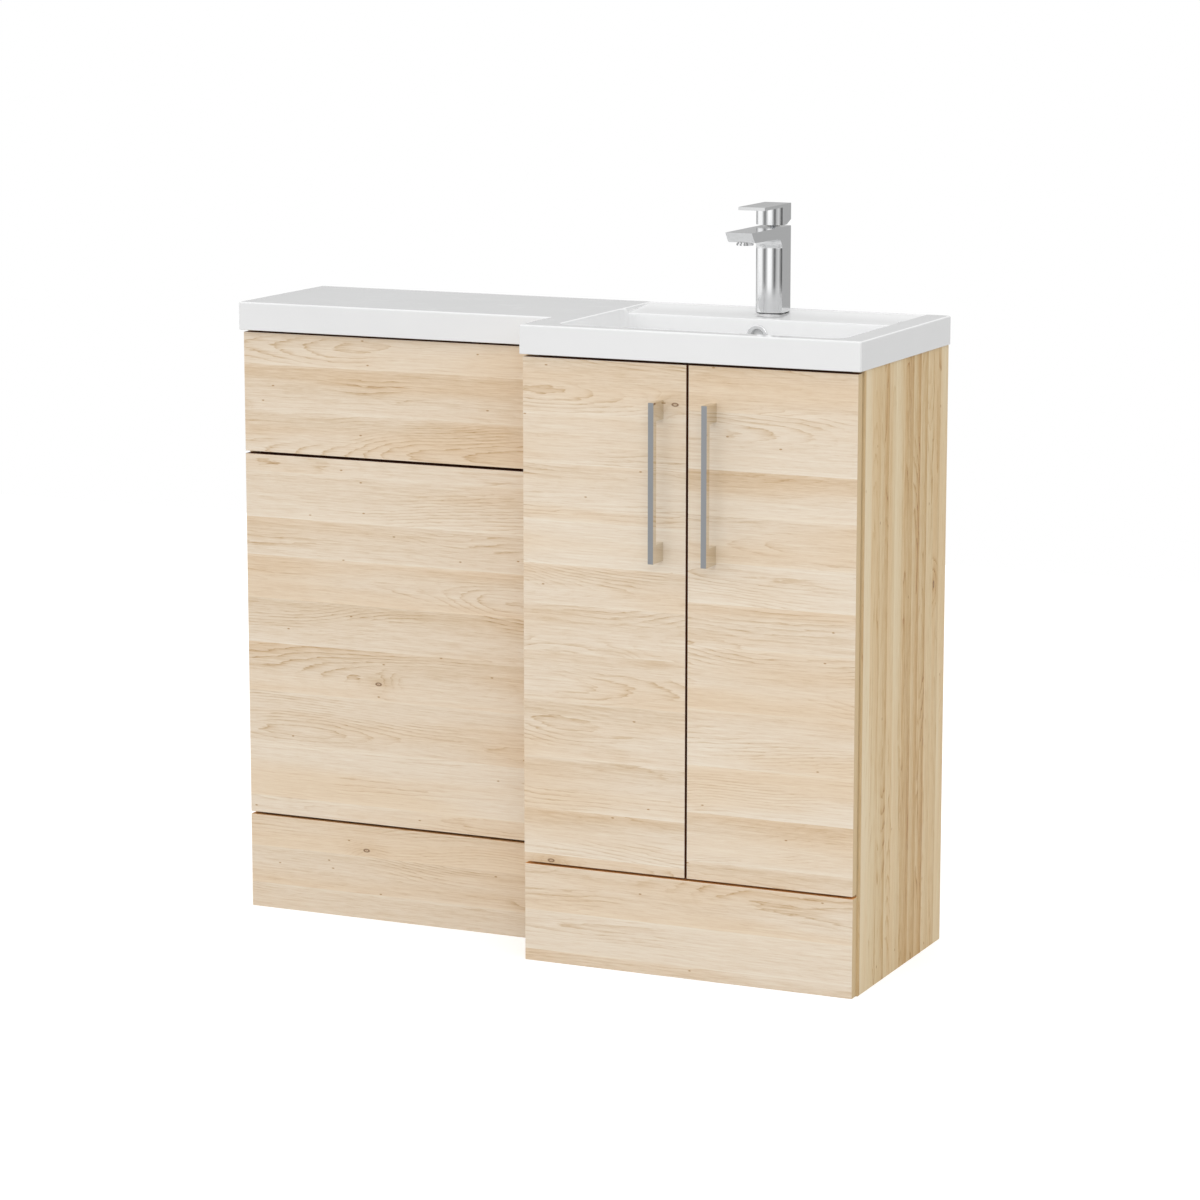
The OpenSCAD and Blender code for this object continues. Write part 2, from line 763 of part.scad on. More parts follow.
// A channel on the plate that reaches forward into the cup
module side_arms() for (z = hinge_z) difference() {
    x = van_x0 + board_t + plate_t;
    board([x, door_back - arm_in_cup, z - arm_h / 2], [x + arm_w, vanity_face + arm_len, z + arm_h / 2]);
    board([x - eps, vanity_face + 10, z - arm_h / 2 + arm_wall],
        [x + arm_w - arm_wall, vanity_face + arm_len + eps, z + arm_h / 2 - arm_wall]);
}

module hinge_arms() color(steel) in_frame() {
    side_arms();
    mirrored() side_arms();
}

// Cross-shaped plates screwed to the sides, with a rib that the arm clips over
module side_plates() for (z = hinge_z) difference() {
    x = van_x0 + board_t;
    union() {
        board([x, vanity_face + plate_back - plate_wing_w / 2, z - plate_wing_h / 2],
            [x + plate_t, vanity_face + plate_back + plate_wing_w / 2, z + plate_wing_h / 2]);
        board([x, vanity_face + plate_back - plate_len / 2, z - arm_h / 2],
            [x + plate_t, vanity_face + plate_back + plate_len / 2, z + arm_h / 2]);
        board([x, vanity_face + 12, z - arm_h / 2 + arm_wall + fit],
            [x + arm_w - arm_wall, vanity_face + arm_len - 2, z + arm_h / 2 - arm_wall - fit]);
    }
    for (s = [-1, 1])
        rod_x(x - eps, x + plate_t + eps, vanity_face + plate_back, z + s * plate_pitch / 2,
            screw_r + fit);
}

module hinge_plates() color(steel) in_frame() {
    side_plates();
    mirrored() side_plates();
}

module door_bumpers() color(plastic) in_frame() {
    corner_bumpers();
    mirrored() corner_bumpers();
}

module corner_bumpers() for (z = [door_z0 + bumper_r + 0.5, door_z1 - bumper_r - 3])
    rod_y(vanity_face - bumper_t, vanity_face, door_x1 - bumper_r - 4, z, bumper_r);

// ---------------------------------------------------------------- cast top and bowl

// The bowl as three crossed outlines, grown outwards by g and cut off at the height z1
module bowl_form(g, z1) {
    z0 = floor_z - g;
    over = top_z1 + 2 * eps;
    r = bowl_floor_r + g;
    lead = (top_z1 - z0) * tan(bowl_rake);
    lean = (top_z1 - z0) * tan(bowl_draft);
    x0 = bowl_x0 - g;
    x1 = bowl_x1 + g;
    y0 = bowl_y0 - g;
    y1 = bowl_y1 + g;
    intersection() {
        translate([0, 0, z0 - eps]) linear_extrude(z1 - z0 + eps) polygon(outline(
            [[x0, y0], [x1, y0], [x1, y1], [x0, y1]], [for (i = [0:3]) bowl_corner_r + g]));
        across(x0 - eps, x1 + eps) polygon(outline(
            [[y0, over], [y0, top_z1], [y0 + lead, z0], [y1 - lean, z0], [y1, top_z1], [y1, over]],
            [0, 0, r, r, 0, 0]));
        through(y0 - eps, y1 + eps) polygon(outline(
            [[x0, over], [x0, top_z1], [x0 + lean, z0], [x1 - lean, z0], [x1, top_z1], [x1, over]],
            [0, 0, r, r, 0, 0]));
    }
}

module top_slab() translate([0, 0, top_z0]) linear_extrude(top_t) polygon([
    [top_x0, 0], [top_x0, top_front_wc], [step_x, top_front_wc], [step_x, top_front],
    [top_x1, top_front], [top_x1, 0]
]);

// The shallow deck behind the bowl, level under the tap and falling towards the bowl
module deck_recess() across(bowl_x0, bowl_x1) polygon([
    [-rim_back, top_z1 + eps], [-rim_back, top_z1], [-rim_back - deck_drop * 2, deck_z],
    [landing_y, deck_z], [bowl_y1 - 3, top_z1 - deck_lip_drop], [bowl_y1 - 3, top_z1 + eps]
]);

// Places its children at the overflow, with -Y square to the leaning back wall
module at_overflow() translate([waste_x, bowl_y1 - overflow_drop * tan(bowl_draft), overflow_z])
    rotate([-bowl_draft, 0, 0]) children();

module basin_top() color(cast) in_frame() difference() {
    union() {
        top_slab();
        bowl_form(bowl_wall, top_z0 + eps);
    }
    bowl_form(0, top_z1 + 2 * eps);
    deck_recess();
    rod_z(top_z0 - eps, top_z1, tap_x, tap_hole_y, tap_hole_r);
    rod_z(shell_z0 - eps, floor_z + eps, waste_x, waste_y, waste_r + loose);
    rod_z(seat_z, floor_z + eps, waste_x, waste_y, flange_r + loose);
    at_overflow() rod_y(-3, duct_y0 + 4 - bowl_y1, 0, 0, overflow_r + loose);
    board([waste_x - duct_w / 2 + duct_wall, duct_y0 + duct_wall, top_z0 - eps],
        [waste_x + duct_w / 2 - duct_wall, duct_y1 - duct_wall, overflow_z + overflow_r]);
}

module overflow_ring() color(chrome) in_frame() at_overflow() difference() {
    union() {
        rod_y(-overflow_ring_t, 0, 0, 0, overflow_ring_r);
        rod_y(-overflow_ring_t, 8, 0, 0, overflow_r);
    }
    rod_y(-overflow_ring_t - eps, 8 + eps, 0, 0, overflow_bore_r);
}

// A flat duct behind the bowl and a collar round the waste
module overflow_duct() color(plastic) in_frame() difference() {
    x0 = waste_x - duct_w / 2;
    x1 = waste_x + duct_w / 2;
    union() {
        board([x0, duct_y0, collar_z0], [x1, duct_y1, top_z0]);
        board([x0, waste_y, collar_z0], [x1, duct_y1, collar_z1]);
        rod_z(collar_z0, collar_z1, waste_x, waste_y, collar_r);
    }
    board([x0 + duct_wall, duct_y0 + duct_wall, collar_z0 + duct_wall],
        [x1 - duct_wall, duct_y1 - duct_wall, top_z0 + eps]);
    board([x0 + duct_wall, waste_y, collar_z0 + duct_wall],
        [x1 - duct_wall, duct_y1 - duct_wall, collar_z1 - duct_wall]);
    rod_z(collar_z0 - eps, collar_z1 + eps, waste_x, waste_y, waste_r + loose);
    rod_z(collar_z0 + duct_wall, collar_z1 - duct_wall, waste_x, waste_y, collar_r - collar_wall);
}

// ---------------------------------------------------------------- waste and trap

module at_waste() translate([waste_x, waste_y, 0]) children();

module ring_z(z0, z1, r_out, r_in) difference() {
    translate([0, 0, z0]) cylinder(h = z1 - z0, r = r_out);
    translate([0, 0, z0 - eps]) cylinder(h = z1 - z0 + 2 * eps, r = r_in);
}

// Slotted waste with a hub on three spokes that guides the plug
module waste_body() color(chrome) in_frame() at_waste() {
    difference() {
        union() {
            ring_z(flange_z0, flange_z1, flange_r, waste_bore_r);
            ring_z(waste_z0, flange_z0 + eps, waste_r, waste_bore_r);
        }
        for (a = [45, 225]) rotate(a)
            board([waste_bore_r - eps, -6, collar_z0 + 3], [waste_r + eps, 6, collar_z1 - 3]);
    }
    ring_z(hub_z1 - hub_h, hub_z1, hub_r, plug_stem_r + loose);
    for (a = [90, 210, 330]) rotate(a)
        board([hub_r - 0.5, -1.5, hub_z1 - hub_h], [waste_bore_r + 0.5, 1.5, hub_z1]);
}

// Rubber rings: under the flange, over and under the overflow collar, and in both trap joints
module waste_seals() color(rubber) in_frame() {
    at_waste() {
        ring_z(seat_z, seat_z + seal_t, flange_r - 1, waste_r + loose);
        ring_z(collar_z1, collar_z1 + seal_t, collar_r - 2, waste_r + loose);
        ring_z(backnut_z1, collar_z0, collar_r - 2, waste_r + loose);
        ring_z(trap_in_z, waste_z0, waste_r, pipe_bore_r);
    }
    translate([waste_x, 0, outlet_z]) rotate([-90, 0, 0])
        ring_z(outlet_end, outlet_end + 4, pipe_r + 3, spigot_r + fit);
}

module waste_backnut() color(brass) in_frame() at_waste() difference() {
    translate([0, 0, backnut_z0]) cylinder(h = backnut_h, r = backnut_r, $fn = 6);
    translate([0, 0, backnut_z0 - eps]) cylinder(h = backnut_h + 2 * eps, r = waste_r + fit);
}

module waste_plug() color(chrome) in_frame() at_waste() {
    translate([0, 0, flange_z1]) cylinder(h = plug_t - 1.5, r = plug_r);
    translate([0, 0, flange_z1 + plug_t - 1.5]) cylinder(h = 1.5, r1 = plug_r, r2 = plug_r - 3);
    translate([0, 0, flange_z1 - plug_stem_len]) cylinder(h = plug_stem_len, r = plug_stem_r);
}

// Bottle trap: an inlet neck with its dip tube, the upper bottle and a side outlet
module trap_body() color(plastic) in_frame() difference() {
    union() {
        at_waste() {
            ring_z(trap_in_z - trap_lip, trap_in_z, waste_r, pipe_bore_r);
            ring_z(bottle_z1 - dip_len, trap_in_z, pipe_r, pipe_bore_r);
            ring_z(bottle_z1 - 3, bottle_z1, bottle_r, pipe_bore_r);
            ring_z(cup_z1 - 12, bottle_z1, bottle_r - 3 - loose, bottle_r - 3 - bottle_wall);
            ring_z(cup_z1 + fit, bottle_z1, bottle_r, bottle_r - 3 - bottle_wall);
        }
        rod_y(waste_y + bottle_r - 4, outlet_end, waste_x, outlet_z, pipe_r + 3);
    }
    rod_y(waste_y + pipe_r + 1, outlet_end + eps, waste_x, outlet_z, pipe_bore_r);
    rod_y(outlet_end - pipe_in, outlet_end + eps, waste_x, outlet_z, spigot_r + fit);
}

module trap_cup() color(plastic) in_frame() at_waste() {
    ring_z(bottle_z0, cup_z1, bottle_r, bottle_r - 3);
    translate([0, 0, bottle_z0]) cylinder(h = 3, r = bottle_r - 2);
    ring_z(bottle_z0 - 5, bottle_z0, bottle_r - 8, bottle_r - 11);
}

// The inlet nut hangs the trap on the waste; the outlet nut grips the pipe
module trap_nuts() color(plastic) in_frame() {
    at_waste() {
        ring_z(trap_in_z - trap_lip, trap_in_z - trap_lip + inlet_nut_h, waste_r + nut_wall,
            waste_r + fit);
        ring_z(trap_in_z - trap_lip - 4, trap_in_z - trap_lip, waste_r + nut_wall, pipe_r + fit);
    }
    translate([waste_x, 0, outlet_z]) rotate([-90, 0, 0]) {
        ring_z(outlet_end - outlet_nut_h + 8, outlet_end + 4, pipe_r + 3 + nut_wall,
            pipe_r + 3 + fit);
        ring_z(outlet_end + 4, outlet_end + 8, pipe_r + 3 + nut_wall, spigot_r + fit);
    }
}

// A pipe to the wall, with a thinner spigot that its shoulder stops at the nut
module trap_outlet_pipe() color(plastic) in_frame() difference() {
    union() {
        rod_y(outlet_end - pipe_in + 1, pipe_shoulder + eps, waste_x, outlet_z, spigot_r);
        rod_y(pipe_shoulder, pipe_end, waste_x, outlet_z, pipe_r);
    }
    rod_y(outlet_end - pipe_in, pipe_end + eps, waste_x, outlet_z, pipe_bore_r);
}

// ---------------------------------------------------------------- tap

module at_tap() translate([tap_x, 0, 0]) children();

// The tap's plan: flat back and sides, round front, drawn inset by g
module tap_plan(g = 0) intersection() {
    translate([-tap_w / 2 + g, tap_apex_y - eps]) square([tap_w - 2 * g, -tap_back - g - tap_apex_y + eps]);
    translate([0, tap_apex_y + tap_front_r]) circle(r = tap_front_r - g, $fn = 96);
}

module spout() across(-tap_w / 2, tap_w / 2) polygon(outline(
    [[axis_y, tap_z1], [tip_y, tap_z1], [tip_y + tip_rake, tap_z1 - spout_t],
     [spout_root_y, tap_z1 - spout_root_t], [spout_root_y, tap_z1 - spout_root_t - spout_fillet - eps],
     [axis_y, tap_z1 - spout_root_t - spout_fillet - eps]],
    [0, 0, 6, spout_fillet, 0, 0]));

module tap_body() color(chrome) in_frame() at_tap() difference() {
    union() {
        translate([0, 0, tap_z0]) linear_extrude(tap_h) tap_plan();
        spout();
    }
    rod_z(cart_z0, tap_z1 + eps, 0, axis_y, cart_r + fit);
    for (s = [-1, 1]) {
        rod_z(tap_z0 - eps, inlet_z0, s * inlet_dx, inlet_y, inlet_lead_r);
        rod_z(tap_z0, inlet_z0 + inlet_len, s * inlet_dx, inlet_y, inlet_r);
        rod_z(inlet_z0 + eps, cart_z0 + eps, s * port_dx, inlet_y, port_r);
    }
    rod_z(tap_z0 - eps, tap_z0 + stud_in + fit, 0, stud_y, stud_r + fit);
    rod_y(aerator_y, axis_y, 0, tap_z1 - spout_t / 2 - 2, way_r);
    rod_z(tap_z1 - spout_root_t - eps, tap_z1 - 4, 0, aerator_y, aerator_r + fit);
}

module tap_aerator() color(chrome) in_frame() translate([tap_x, aerator_y, 0]) difference() {
    union() {
        translate([0, 0, tap_z1 - spout_root_t]) cylinder(h = spout_root_t - 5, r = aerator_r);
        translate([0, 0, tap_z1 - spout_root_t - aerator_ring_h + 1])
            cylinder(h = aerator_ring_h - 1, r = aerator_ring_r);
    }
    for (a = [0:60:300]) rotate(a) translate([5.5, 0, tap_z1 - spout_root_t - aerator_ring_h])
        cylinder(h = spout_root_t + aerator_ring_h, r = 1.6);
}

// The gasket under the tap and the pad over the clamp washer
module tap_seals() color(rubber) in_frame() at_tap() {
    difference() {
        translate([0, 0, deck_z]) linear_extrude(gasket_t) tap_plan(1);
        for (s = [-1, 1]) rod_z(deck_z - eps, tap_z0 + eps, s * inlet_dx, inlet_y, inlet_r + loose);
        rod_z(deck_z - eps, tap_z0 + eps, 0, stud_y, stud_r + loose);
    }
    clamp(top_z0 - pad_t, pad_t);
}

// A disc open towards the front for the supply pipes
module clamp(z, t) difference() {
    rod_z(z, z + t, 0, tap_hole_y, clamp_r);
    rod_z(z - eps, z + t + eps, 0, stud_y, stud_r + loose);
    board([-clamp_slot_w / 2, tap_hole_y - clamp_r - eps, z - eps],
        [clamp_slot_w / 2, tap_hole_y + 4, z + t + eps]);
}

module tap_clamp_washer() color(steel) in_frame() at_tap() clamp(top_z0 - pad_t - clamp_t, clamp_t);

module tap_stud() color(brass) in_frame() at_tap() rod_z(stud_z0, tap_z0 + stud_in, 0, stud_y, stud_r);

module tap_stud_nut() color(brass) in_frame() translate([tap_x, stud_y, 0]) difference() {
    z1 = top_z0 - pad_t - clamp_t;
    translate([0, 0, z1 - 10]) cylinder(h = 10, r = 7, $fn = 6);
    translate([0, 0, z1 - 10 - eps]) cylinder(h = 10 + 2 * eps, r = stud_r + fit);
}

module at_axis() translate([tap_x, axis_y, 0]) children();

module cartridge_housing() color(plastic) in_frame() at_axis() difference() {
    translate([0, 0, cart_z0]) cylinder(h = cart_z1 - cart_z0, r = cart_r);
    translate([0, 0, cart_z0 + cart_floor]) cylinder(h = cart_z1 - cart_z0, r = cart_bore_r);
    for (s = [-1, 1]) translate([s * port_dx, inlet_y - axis_y, cart_z0 - eps])
        cylinder(h = cart_floor + 2 * eps, r = port_r);
}

module cartridge_nut() color(brass) in_frame() at_axis()
    ring_z(cart_z1, tap_z1 - 0.2, cart_r, cart_nut_bore_r);

module ceramic_discs() color(cast) in_frame() at_axis() for (k = [0, 1])
    translate([0, 0, cart_z0 + cart_floor + k * disc_t]) cylinder(h = disc_t, r = disc_r);

// Turns with the lever and carries the pin that the stem tilts on
module swivel_carrier() color(plastic) in_frame() at_axis() difference() {
    translate([0, 0, carrier_z0]) cylinder(h = cart_z1 - carrier_z0, r = carrier_r);
    board([-slot_w / 2, -stem_r - 1.7, pivot_z - stem_r - 1.5], [slot_w / 2, carrier_r + eps, cart_z1 + eps]);
    rod_x(-carrier_r - eps, carrier_r + eps, 0, pivot_z, tilt_pin_r + fit);
}

module tilt_pin() color(steel) in_frame() at_axis()
    rod_x(-tilt_pin_len / 2, tilt_pin_len / 2, 0, pivot_z, tilt_pin_r);

module lever_stem() color(steel) in_frame() at_axis() difference() {
    rod_z(pivot_z - stem_r, stem_z1, 0, 0, stem_r);
    rod_x(-stem_r - eps, stem_r + eps, 0, pivot_z, tilt_pin_r + fit);
}

module tap_lever() color(chrome) in_frame() at_tap() difference() {
    union() {
        translate([0, 0, lever_z0]) linear_extrude(lever_block_h) tap_plan();
        board([-tap_w / 2, -tap_back - lever_len, lever_z1], [tap_w / 2, -tap_back, lever_z1 + lever_t]);
    }
    across(-tap_w / 2 - eps, tap_w / 2 + eps) polygon([
        [lever_chamfer_y, lever_z0 - eps], [lever_chamfer_y, lever_z0],
        [-tap_back + eps, lever_z0 + (-tap_back + eps - lever_chamfer_y) * tan(lever_chamfer)],
        [-tap_back + eps, lever_z0 - eps]
    ]);
    rod_z(lever_z0 - eps, stem_z1 + fit, 0, axis_y, stem_r + fit);
    rod_y(axis_y, -tap_back + eps, 0, grub_z, grub_r + fit);
}

module lever_grub_screw() color(steel) in_frame() at_tap()
    rod_y(axis_y + stem_r + fit, -tap_back - grub_in, 0, grub_z, grub_r);

// ---------------------------------------------------------------- nodes

wc_side_left();
wc_side_right();
wc_top_rail();
wc_back_rail();
wc_middle_rail();
wc_lower_rail();
wc_access_panel();
wc_middle_panel();
wc_plinth();
access_clip_studs();
access_clip_sockets();
vanity_side_left();
vanity_side_right();
vanity_base();
vanity_front_rail();
vanity_back_rail_upper();
vanity_back_rail_lower();
vanity_shelf();
shelf_pins();
vanity_plinth();
carcass_dowels();
panel_brackets();
carcass_screws();
joining_bolts();
left_door();
right_door();
left_handle();
right_handle();
left_handle_screws();
right_handle_screws();
left_hinge_cups();
right_hinge_cups();
hinge_arms();
hinge_plates();
door_bumpers();
basin_top();
overflow_ring();
overflow_duct();
waste_body();
waste_seals();
waste_backnut();
waste_plug();
trap_body();
trap_nuts();
trap_cup();
trap_outlet_pipe();
tap_body();
tap_aerator();
tap_seals();
tap_stud();
tap_clamp_washer();
tap_stud_nut();
cartridge_housing();
cartridge_nut();
ceramic_discs();
swivel_carrier();
tilt_pin();
lever_stem();
tap_lever();
lever_grub_screw();
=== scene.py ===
"""The finished look of a toilet and basin combination unit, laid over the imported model.

The model's frame is in metres. The sizes in the classes are in millimetres in the cabinet's own
frame: x from the left outer face of the toilet unit, y from the wall (minus is towards the room)
and z from the floor.
"""

import json
import logging
import math
from dataclasses import dataclass, replace
from enum import Enum
from typing import Any, Callable, Iterable, Sequence

import bmesh
import bpy
import numpy as np
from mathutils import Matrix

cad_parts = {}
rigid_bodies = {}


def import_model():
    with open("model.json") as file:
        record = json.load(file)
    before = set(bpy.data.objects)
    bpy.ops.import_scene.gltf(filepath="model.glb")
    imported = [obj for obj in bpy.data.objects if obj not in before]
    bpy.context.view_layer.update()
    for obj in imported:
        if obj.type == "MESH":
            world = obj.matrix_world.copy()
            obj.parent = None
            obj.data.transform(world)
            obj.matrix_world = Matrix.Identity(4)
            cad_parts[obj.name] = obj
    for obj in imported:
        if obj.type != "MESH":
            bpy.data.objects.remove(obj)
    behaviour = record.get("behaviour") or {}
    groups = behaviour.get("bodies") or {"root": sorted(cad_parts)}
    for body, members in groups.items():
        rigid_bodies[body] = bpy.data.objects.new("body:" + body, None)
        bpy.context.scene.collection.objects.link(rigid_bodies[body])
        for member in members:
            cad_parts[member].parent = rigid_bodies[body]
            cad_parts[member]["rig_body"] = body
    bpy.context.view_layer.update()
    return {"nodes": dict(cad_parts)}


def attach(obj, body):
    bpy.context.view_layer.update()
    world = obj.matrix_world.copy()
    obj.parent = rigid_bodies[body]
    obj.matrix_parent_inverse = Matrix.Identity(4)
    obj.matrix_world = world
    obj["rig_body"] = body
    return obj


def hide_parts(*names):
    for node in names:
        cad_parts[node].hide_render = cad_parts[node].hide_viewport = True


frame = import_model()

log = logging.getLogger("combination_unit")

Pair = tuple[float, float]
Triple = tuple[float, float, float]
Colour = tuple[float, float, float, float]
Socket = bpy.types.NodeSocket
Distance = Callable[[np.ndarray, np.ndarray, np.ndarray], np.ndarray]

CABINET_ORIGIN = np.array([501.0, -192.0, 0.0])
MM = 1000.0

# Points nearer than this many metres are one point, in a new surface and in a CAD copy.
SAME_POINT = 1e-6
SAME_CAD_POINT = 2e-6
# CAD faces that turn less than this many degrees are one flat face.
FLAT_ANGLE = 0.5


# ---------------------------------------------------------------- shapes


def to_frame(points: np.ndarray) -> np.ndarray:
    """Turns millimetres in the cabinet's frame into metres in the model's frame.

    Args:
        points: places as rows of x, y, z.

    Returns:
        The same places less the model's origin, over a thousand.
    """
    return (np.asarray(points, float) - CABINET_ORIGIN) / MM


def overlap(first: np.ndarray, second: np.ndarray, radius: float) -> np.ndarray:
    """Signed distance of what two shapes share, with a rounded edge where their surfaces meet.

    Within one radius of both surfaces it is the length of the two distances plus the radius,
    less the radius; elsewhere it is the larger distance.

    Args:
        first: signed distance of one shape, minus inside.
        second: signed distance of the other shape.
        radius: the edge's radius in millimetres.

    Returns:
        The signed distance of the overlap.
    """
    corner = np.hypot(np.maximum(first + radius, 0.0), np.maximum(second + radius, 0.0))
    return np.minimum(-radius, np.maximum(first, second)) + corner


def spread(start: float, *stretches: Pair) -> np.ndarray:
    """Grid lines along one axis.

    Args:
        start: the first line's place.
        stretches: where each stretch ends and the step that is wanted in it.

    Returns:
        The lines' places, evenly spaced in each stretch.
    """
    starts = (start, *(stop for stop, _ in stretches))
    parts = [
        np.linspace(low, high, max(round(abs(high - low) / step), 1), endpoint=False)
        for low, (high, step) in zip(starts, stretches)
    ]
    return np.append(np.concatenate(parts), starts[-1])


def strip(outer: np.ndarray, inner: np.ndarray) -> np.ndarray:
    """Quads between two closed rings of point numbers, from each pair to the pair beside it."""
    return np.stack([outer, np.roll(outer, -1), np.roll(inner, -1), inner], axis=1)


def surface(name: str, points: np.ndarray, faces: Iterable[np.ndarray]) -> bpy.types.Object:
    """Makes a closed mesh object, with equal points merged and faces turned outwards.

    Args:
        name: the object's name.
        points: places in the cabinet's frame, in millimetres.
        faces: arrays of point numbers, one row a face.

    Returns:
        The new object, linked to the scene.
    """
    mesh = bpy.data.meshes.new(name)
    rows = [list(dict.fromkeys(row)) for block in faces for row in block.tolist()]
    mesh.from_pydata(to_frame(points).tolist(), [], [row for row in rows if len(row) > 2])
    work = bmesh.new()
    work.from_mesh(mesh)
    bmesh.ops.remove_doubles(work, verts=work.verts, dist=SAME_POINT)
    bmesh.ops.recalc_face_normals(work, faces=work.faces)
    work.to_mesh(mesh)
    work.free()
    obj = bpy.data.objects.new(name, mesh)
    bpy.context.scene.collection.objects.link(obj)
    return obj


def smooth(obj: bpy.types.Object, crease: float) -> None:
    """Shades an object smooth apart from its creases, with large faces leading the normals.

    Args:
        obj: the object.
        crease: the angle in degrees from which an edge stays sharp.
    """
    obj.data.polygons.foreach_set("use_smooth", np.ones(len(obj.data.polygons), bool))
    obj.data.set_sharp_from_angle(angle=math.radians(crease))
    weighted = obj.modifiers.new("even_shading", "WEIGHTED_NORMAL")
    weighted.mode = "FACE_AREA"
    weighted.keep_sharp = True


def softened(
    node: str,
    radius: float,
    crease: float = 38.0,
    steps: int = 2,
    filler: bpy.types.Object | None = None,
) -> bpy.types.Object:
    """Copies a CAD node's mesh, merges it and rounds its sharp edges.

    Args:
        node: the CAD node.
        radius: the width of the rounding in millimetres.
        crease: edges that turn less than this many degrees are left as they are.
        steps: faces across the rounding.
        filler: a closed shape that is taken into the copy.

    Returns:
        The new object, which still has to be placed.
    """
    mesh = frame["nodes"][node].data.copy()
    mesh.name = f"{node}_softened"
    if "custom_normal" in mesh.attributes:
        mesh.attributes.remove(mesh.attributes["custom_normal"])
    work = bmesh.new()
    work.from_mesh(mesh)
    if filler:
        work.from_mesh(filler.data)
        bpy.data.objects.remove(filler)
    bmesh.ops.remove_doubles(work, verts=work.verts, dist=SAME_CAD_POINT)
    flat = math.radians(FLAT_ANGLE)
    bmesh.ops.dissolve_limit(work, angle_limit=flat, verts=work.verts, edges=work.edges)
    work.to_mesh(mesh)
    work.free()
    obj = bpy.data.objects.new(f"{node}_softened", mesh)
    bpy.context.scene.collection.objects.link(obj)
    mesh.polygons.foreach_set("use_smooth", np.ones(len(mesh.polygons), bool))
    mesh.set_sharp_from_angle(angle=math.radians(crease))
    bevel = obj.modifiers.new("soft_edges", "BEVEL")
    bevel.width = radius / MM
    bevel.segments = steps
    bevel.limit_method = "ANGLE"
    bevel.angle_limit = math.radians(crease)
    bevel.miter_outer = "MITER_ARC"
    bevel.harden_normals = True
    return obj


def turned(
    name: str,
    profile: np.ndarray,
    centre: Sequence[float],
    axis: Sequence[float],
    around: int = 96,
) -> bpy.types.Object:
    """A ring or disc turned on a lathe.

    A point of the surface is the centre, plus the profile's radius along a direction square to
    the axis that goes once round, plus the profile's height along the axis.

    Args:
        name: the object's name.
        profile: a closed outline as rows of radius and height, in millimetres.
        centre: where the height is nought, in the cabinet's frame.
        axis: the direction of the height.
        around: points once round.

    Returns:
        The new object.
    """
    along = np.asarray(axis, float) / np.linalg.norm(axis)
    side = np.cross(along, [1.0, 0.0, 0.0] if abs(along[0]) < 0.9 else [0.0, 1.0, 0.0])
    side /= np.linalg.norm(side)
    other = np.cross(along, side)
    turn = np.linspace(0.0, 2 * np.pi, around, endpoint=False)
    spoke = np.cos(turn)[:, None] * side + np.sin(turn)[:, None] * other
    radius, height = profile.T[:, :, None, None]
    points = np.asarray(centre, float) + radius * spoke + height * along
    number = np.arange(points.shape[0] * around).reshape(points.shape[0], around)
    faces = [strip(number[k], number[(k + 1) % len(number)]) for k in range(len(number))]
    return surface(name, points.reshape(-1, 3), faces)


def rounded_outline(corners: Sequence[Triple], steps: int = 4) -> np.ndarray:
    """A closed outline whose corners are arcs.

    Each corner's arc touches both of its sides at the same distance from the corner, and runs
    between them as a quadratic curve.

    Args:
        corners: radius, height and rounding of each corner, in millimetres.
        steps: points on each arc, less one.

    Returns:
        The outline as rows of radius and height.
    """
    places = np.array([c[:2] for c in corners], float)
    cut = np.array([c[2] for c in corners], float)[:, None]
    before, after = np.roll(places, 1, 0) - places, np.roll(places, -1, 0) - places
    first = places + cut * before / np.linalg.norm(before, axis=1, keepdims=True)
    last = places + cut * after / np.linalg.norm(after, axis=1, keepdims=True)
    t = np.linspace(0.0, 1.0, steps + 1)[None, :, None]
    arcs = first[:, None] * (1 - t) ** 2 + places[:, None] * 2 * t * (1 - t) + last[:, None] * t**2
    return arcs.reshape(-1, 2)


def dress(obj: bpy.types.Object, material: bpy.types.Material) -> None:
    """Gives every material slot of an object one material.

    Args:
        obj: the object, which gets a slot if it has none.
        material: the material.
    """
    if not obj.material_slots:
        obj.data.materials.append(material)
    for slot in obj.material_slots:
        slot.material = material


def settle(obj: bpy.types.Object, slot: str, material: bpy.types.Material, *nodes: str) -> None:
    """Puts a finished piece in the place of its CAD nodes and reports it.

    Args:
        obj: the new piece.
        slot: the record's material slot; not used.
        material: its finish.
        nodes: the CAD nodes that it stands for; it rides on the first one's body.
    """
    dress(obj, material)
    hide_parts(*nodes)
    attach(obj, frame["nodes"][nodes[0]]["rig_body"])
    log.info("%s stands for %s", obj.name, ", ".join(nodes))


# ---------------------------------------------------------------- shader wiring


def srgb(red: int, green: int, blue: int) -> Colour:
    """A colour given as on a screen, as the linear colour that a shader takes.

    Args:
        red, green, blue: the screen's numbers, 0 to 255.

    Returns:
        The linear colour, opaque.
    """
    parts = [c / 255 for c in (red, green, blue)]
    linear = [c / 12.92 if c <= 0.04045 else ((c + 0.055) / 1.055) ** 2.4 for c in parts]
    return (*linear, 1.0)


def dimmed(colour: Colour, share: float) -> Colour:
    """A colour with its red, green and blue multiplied by a share."""
    return (*(c * share for c in colour[:3]), 1.0)


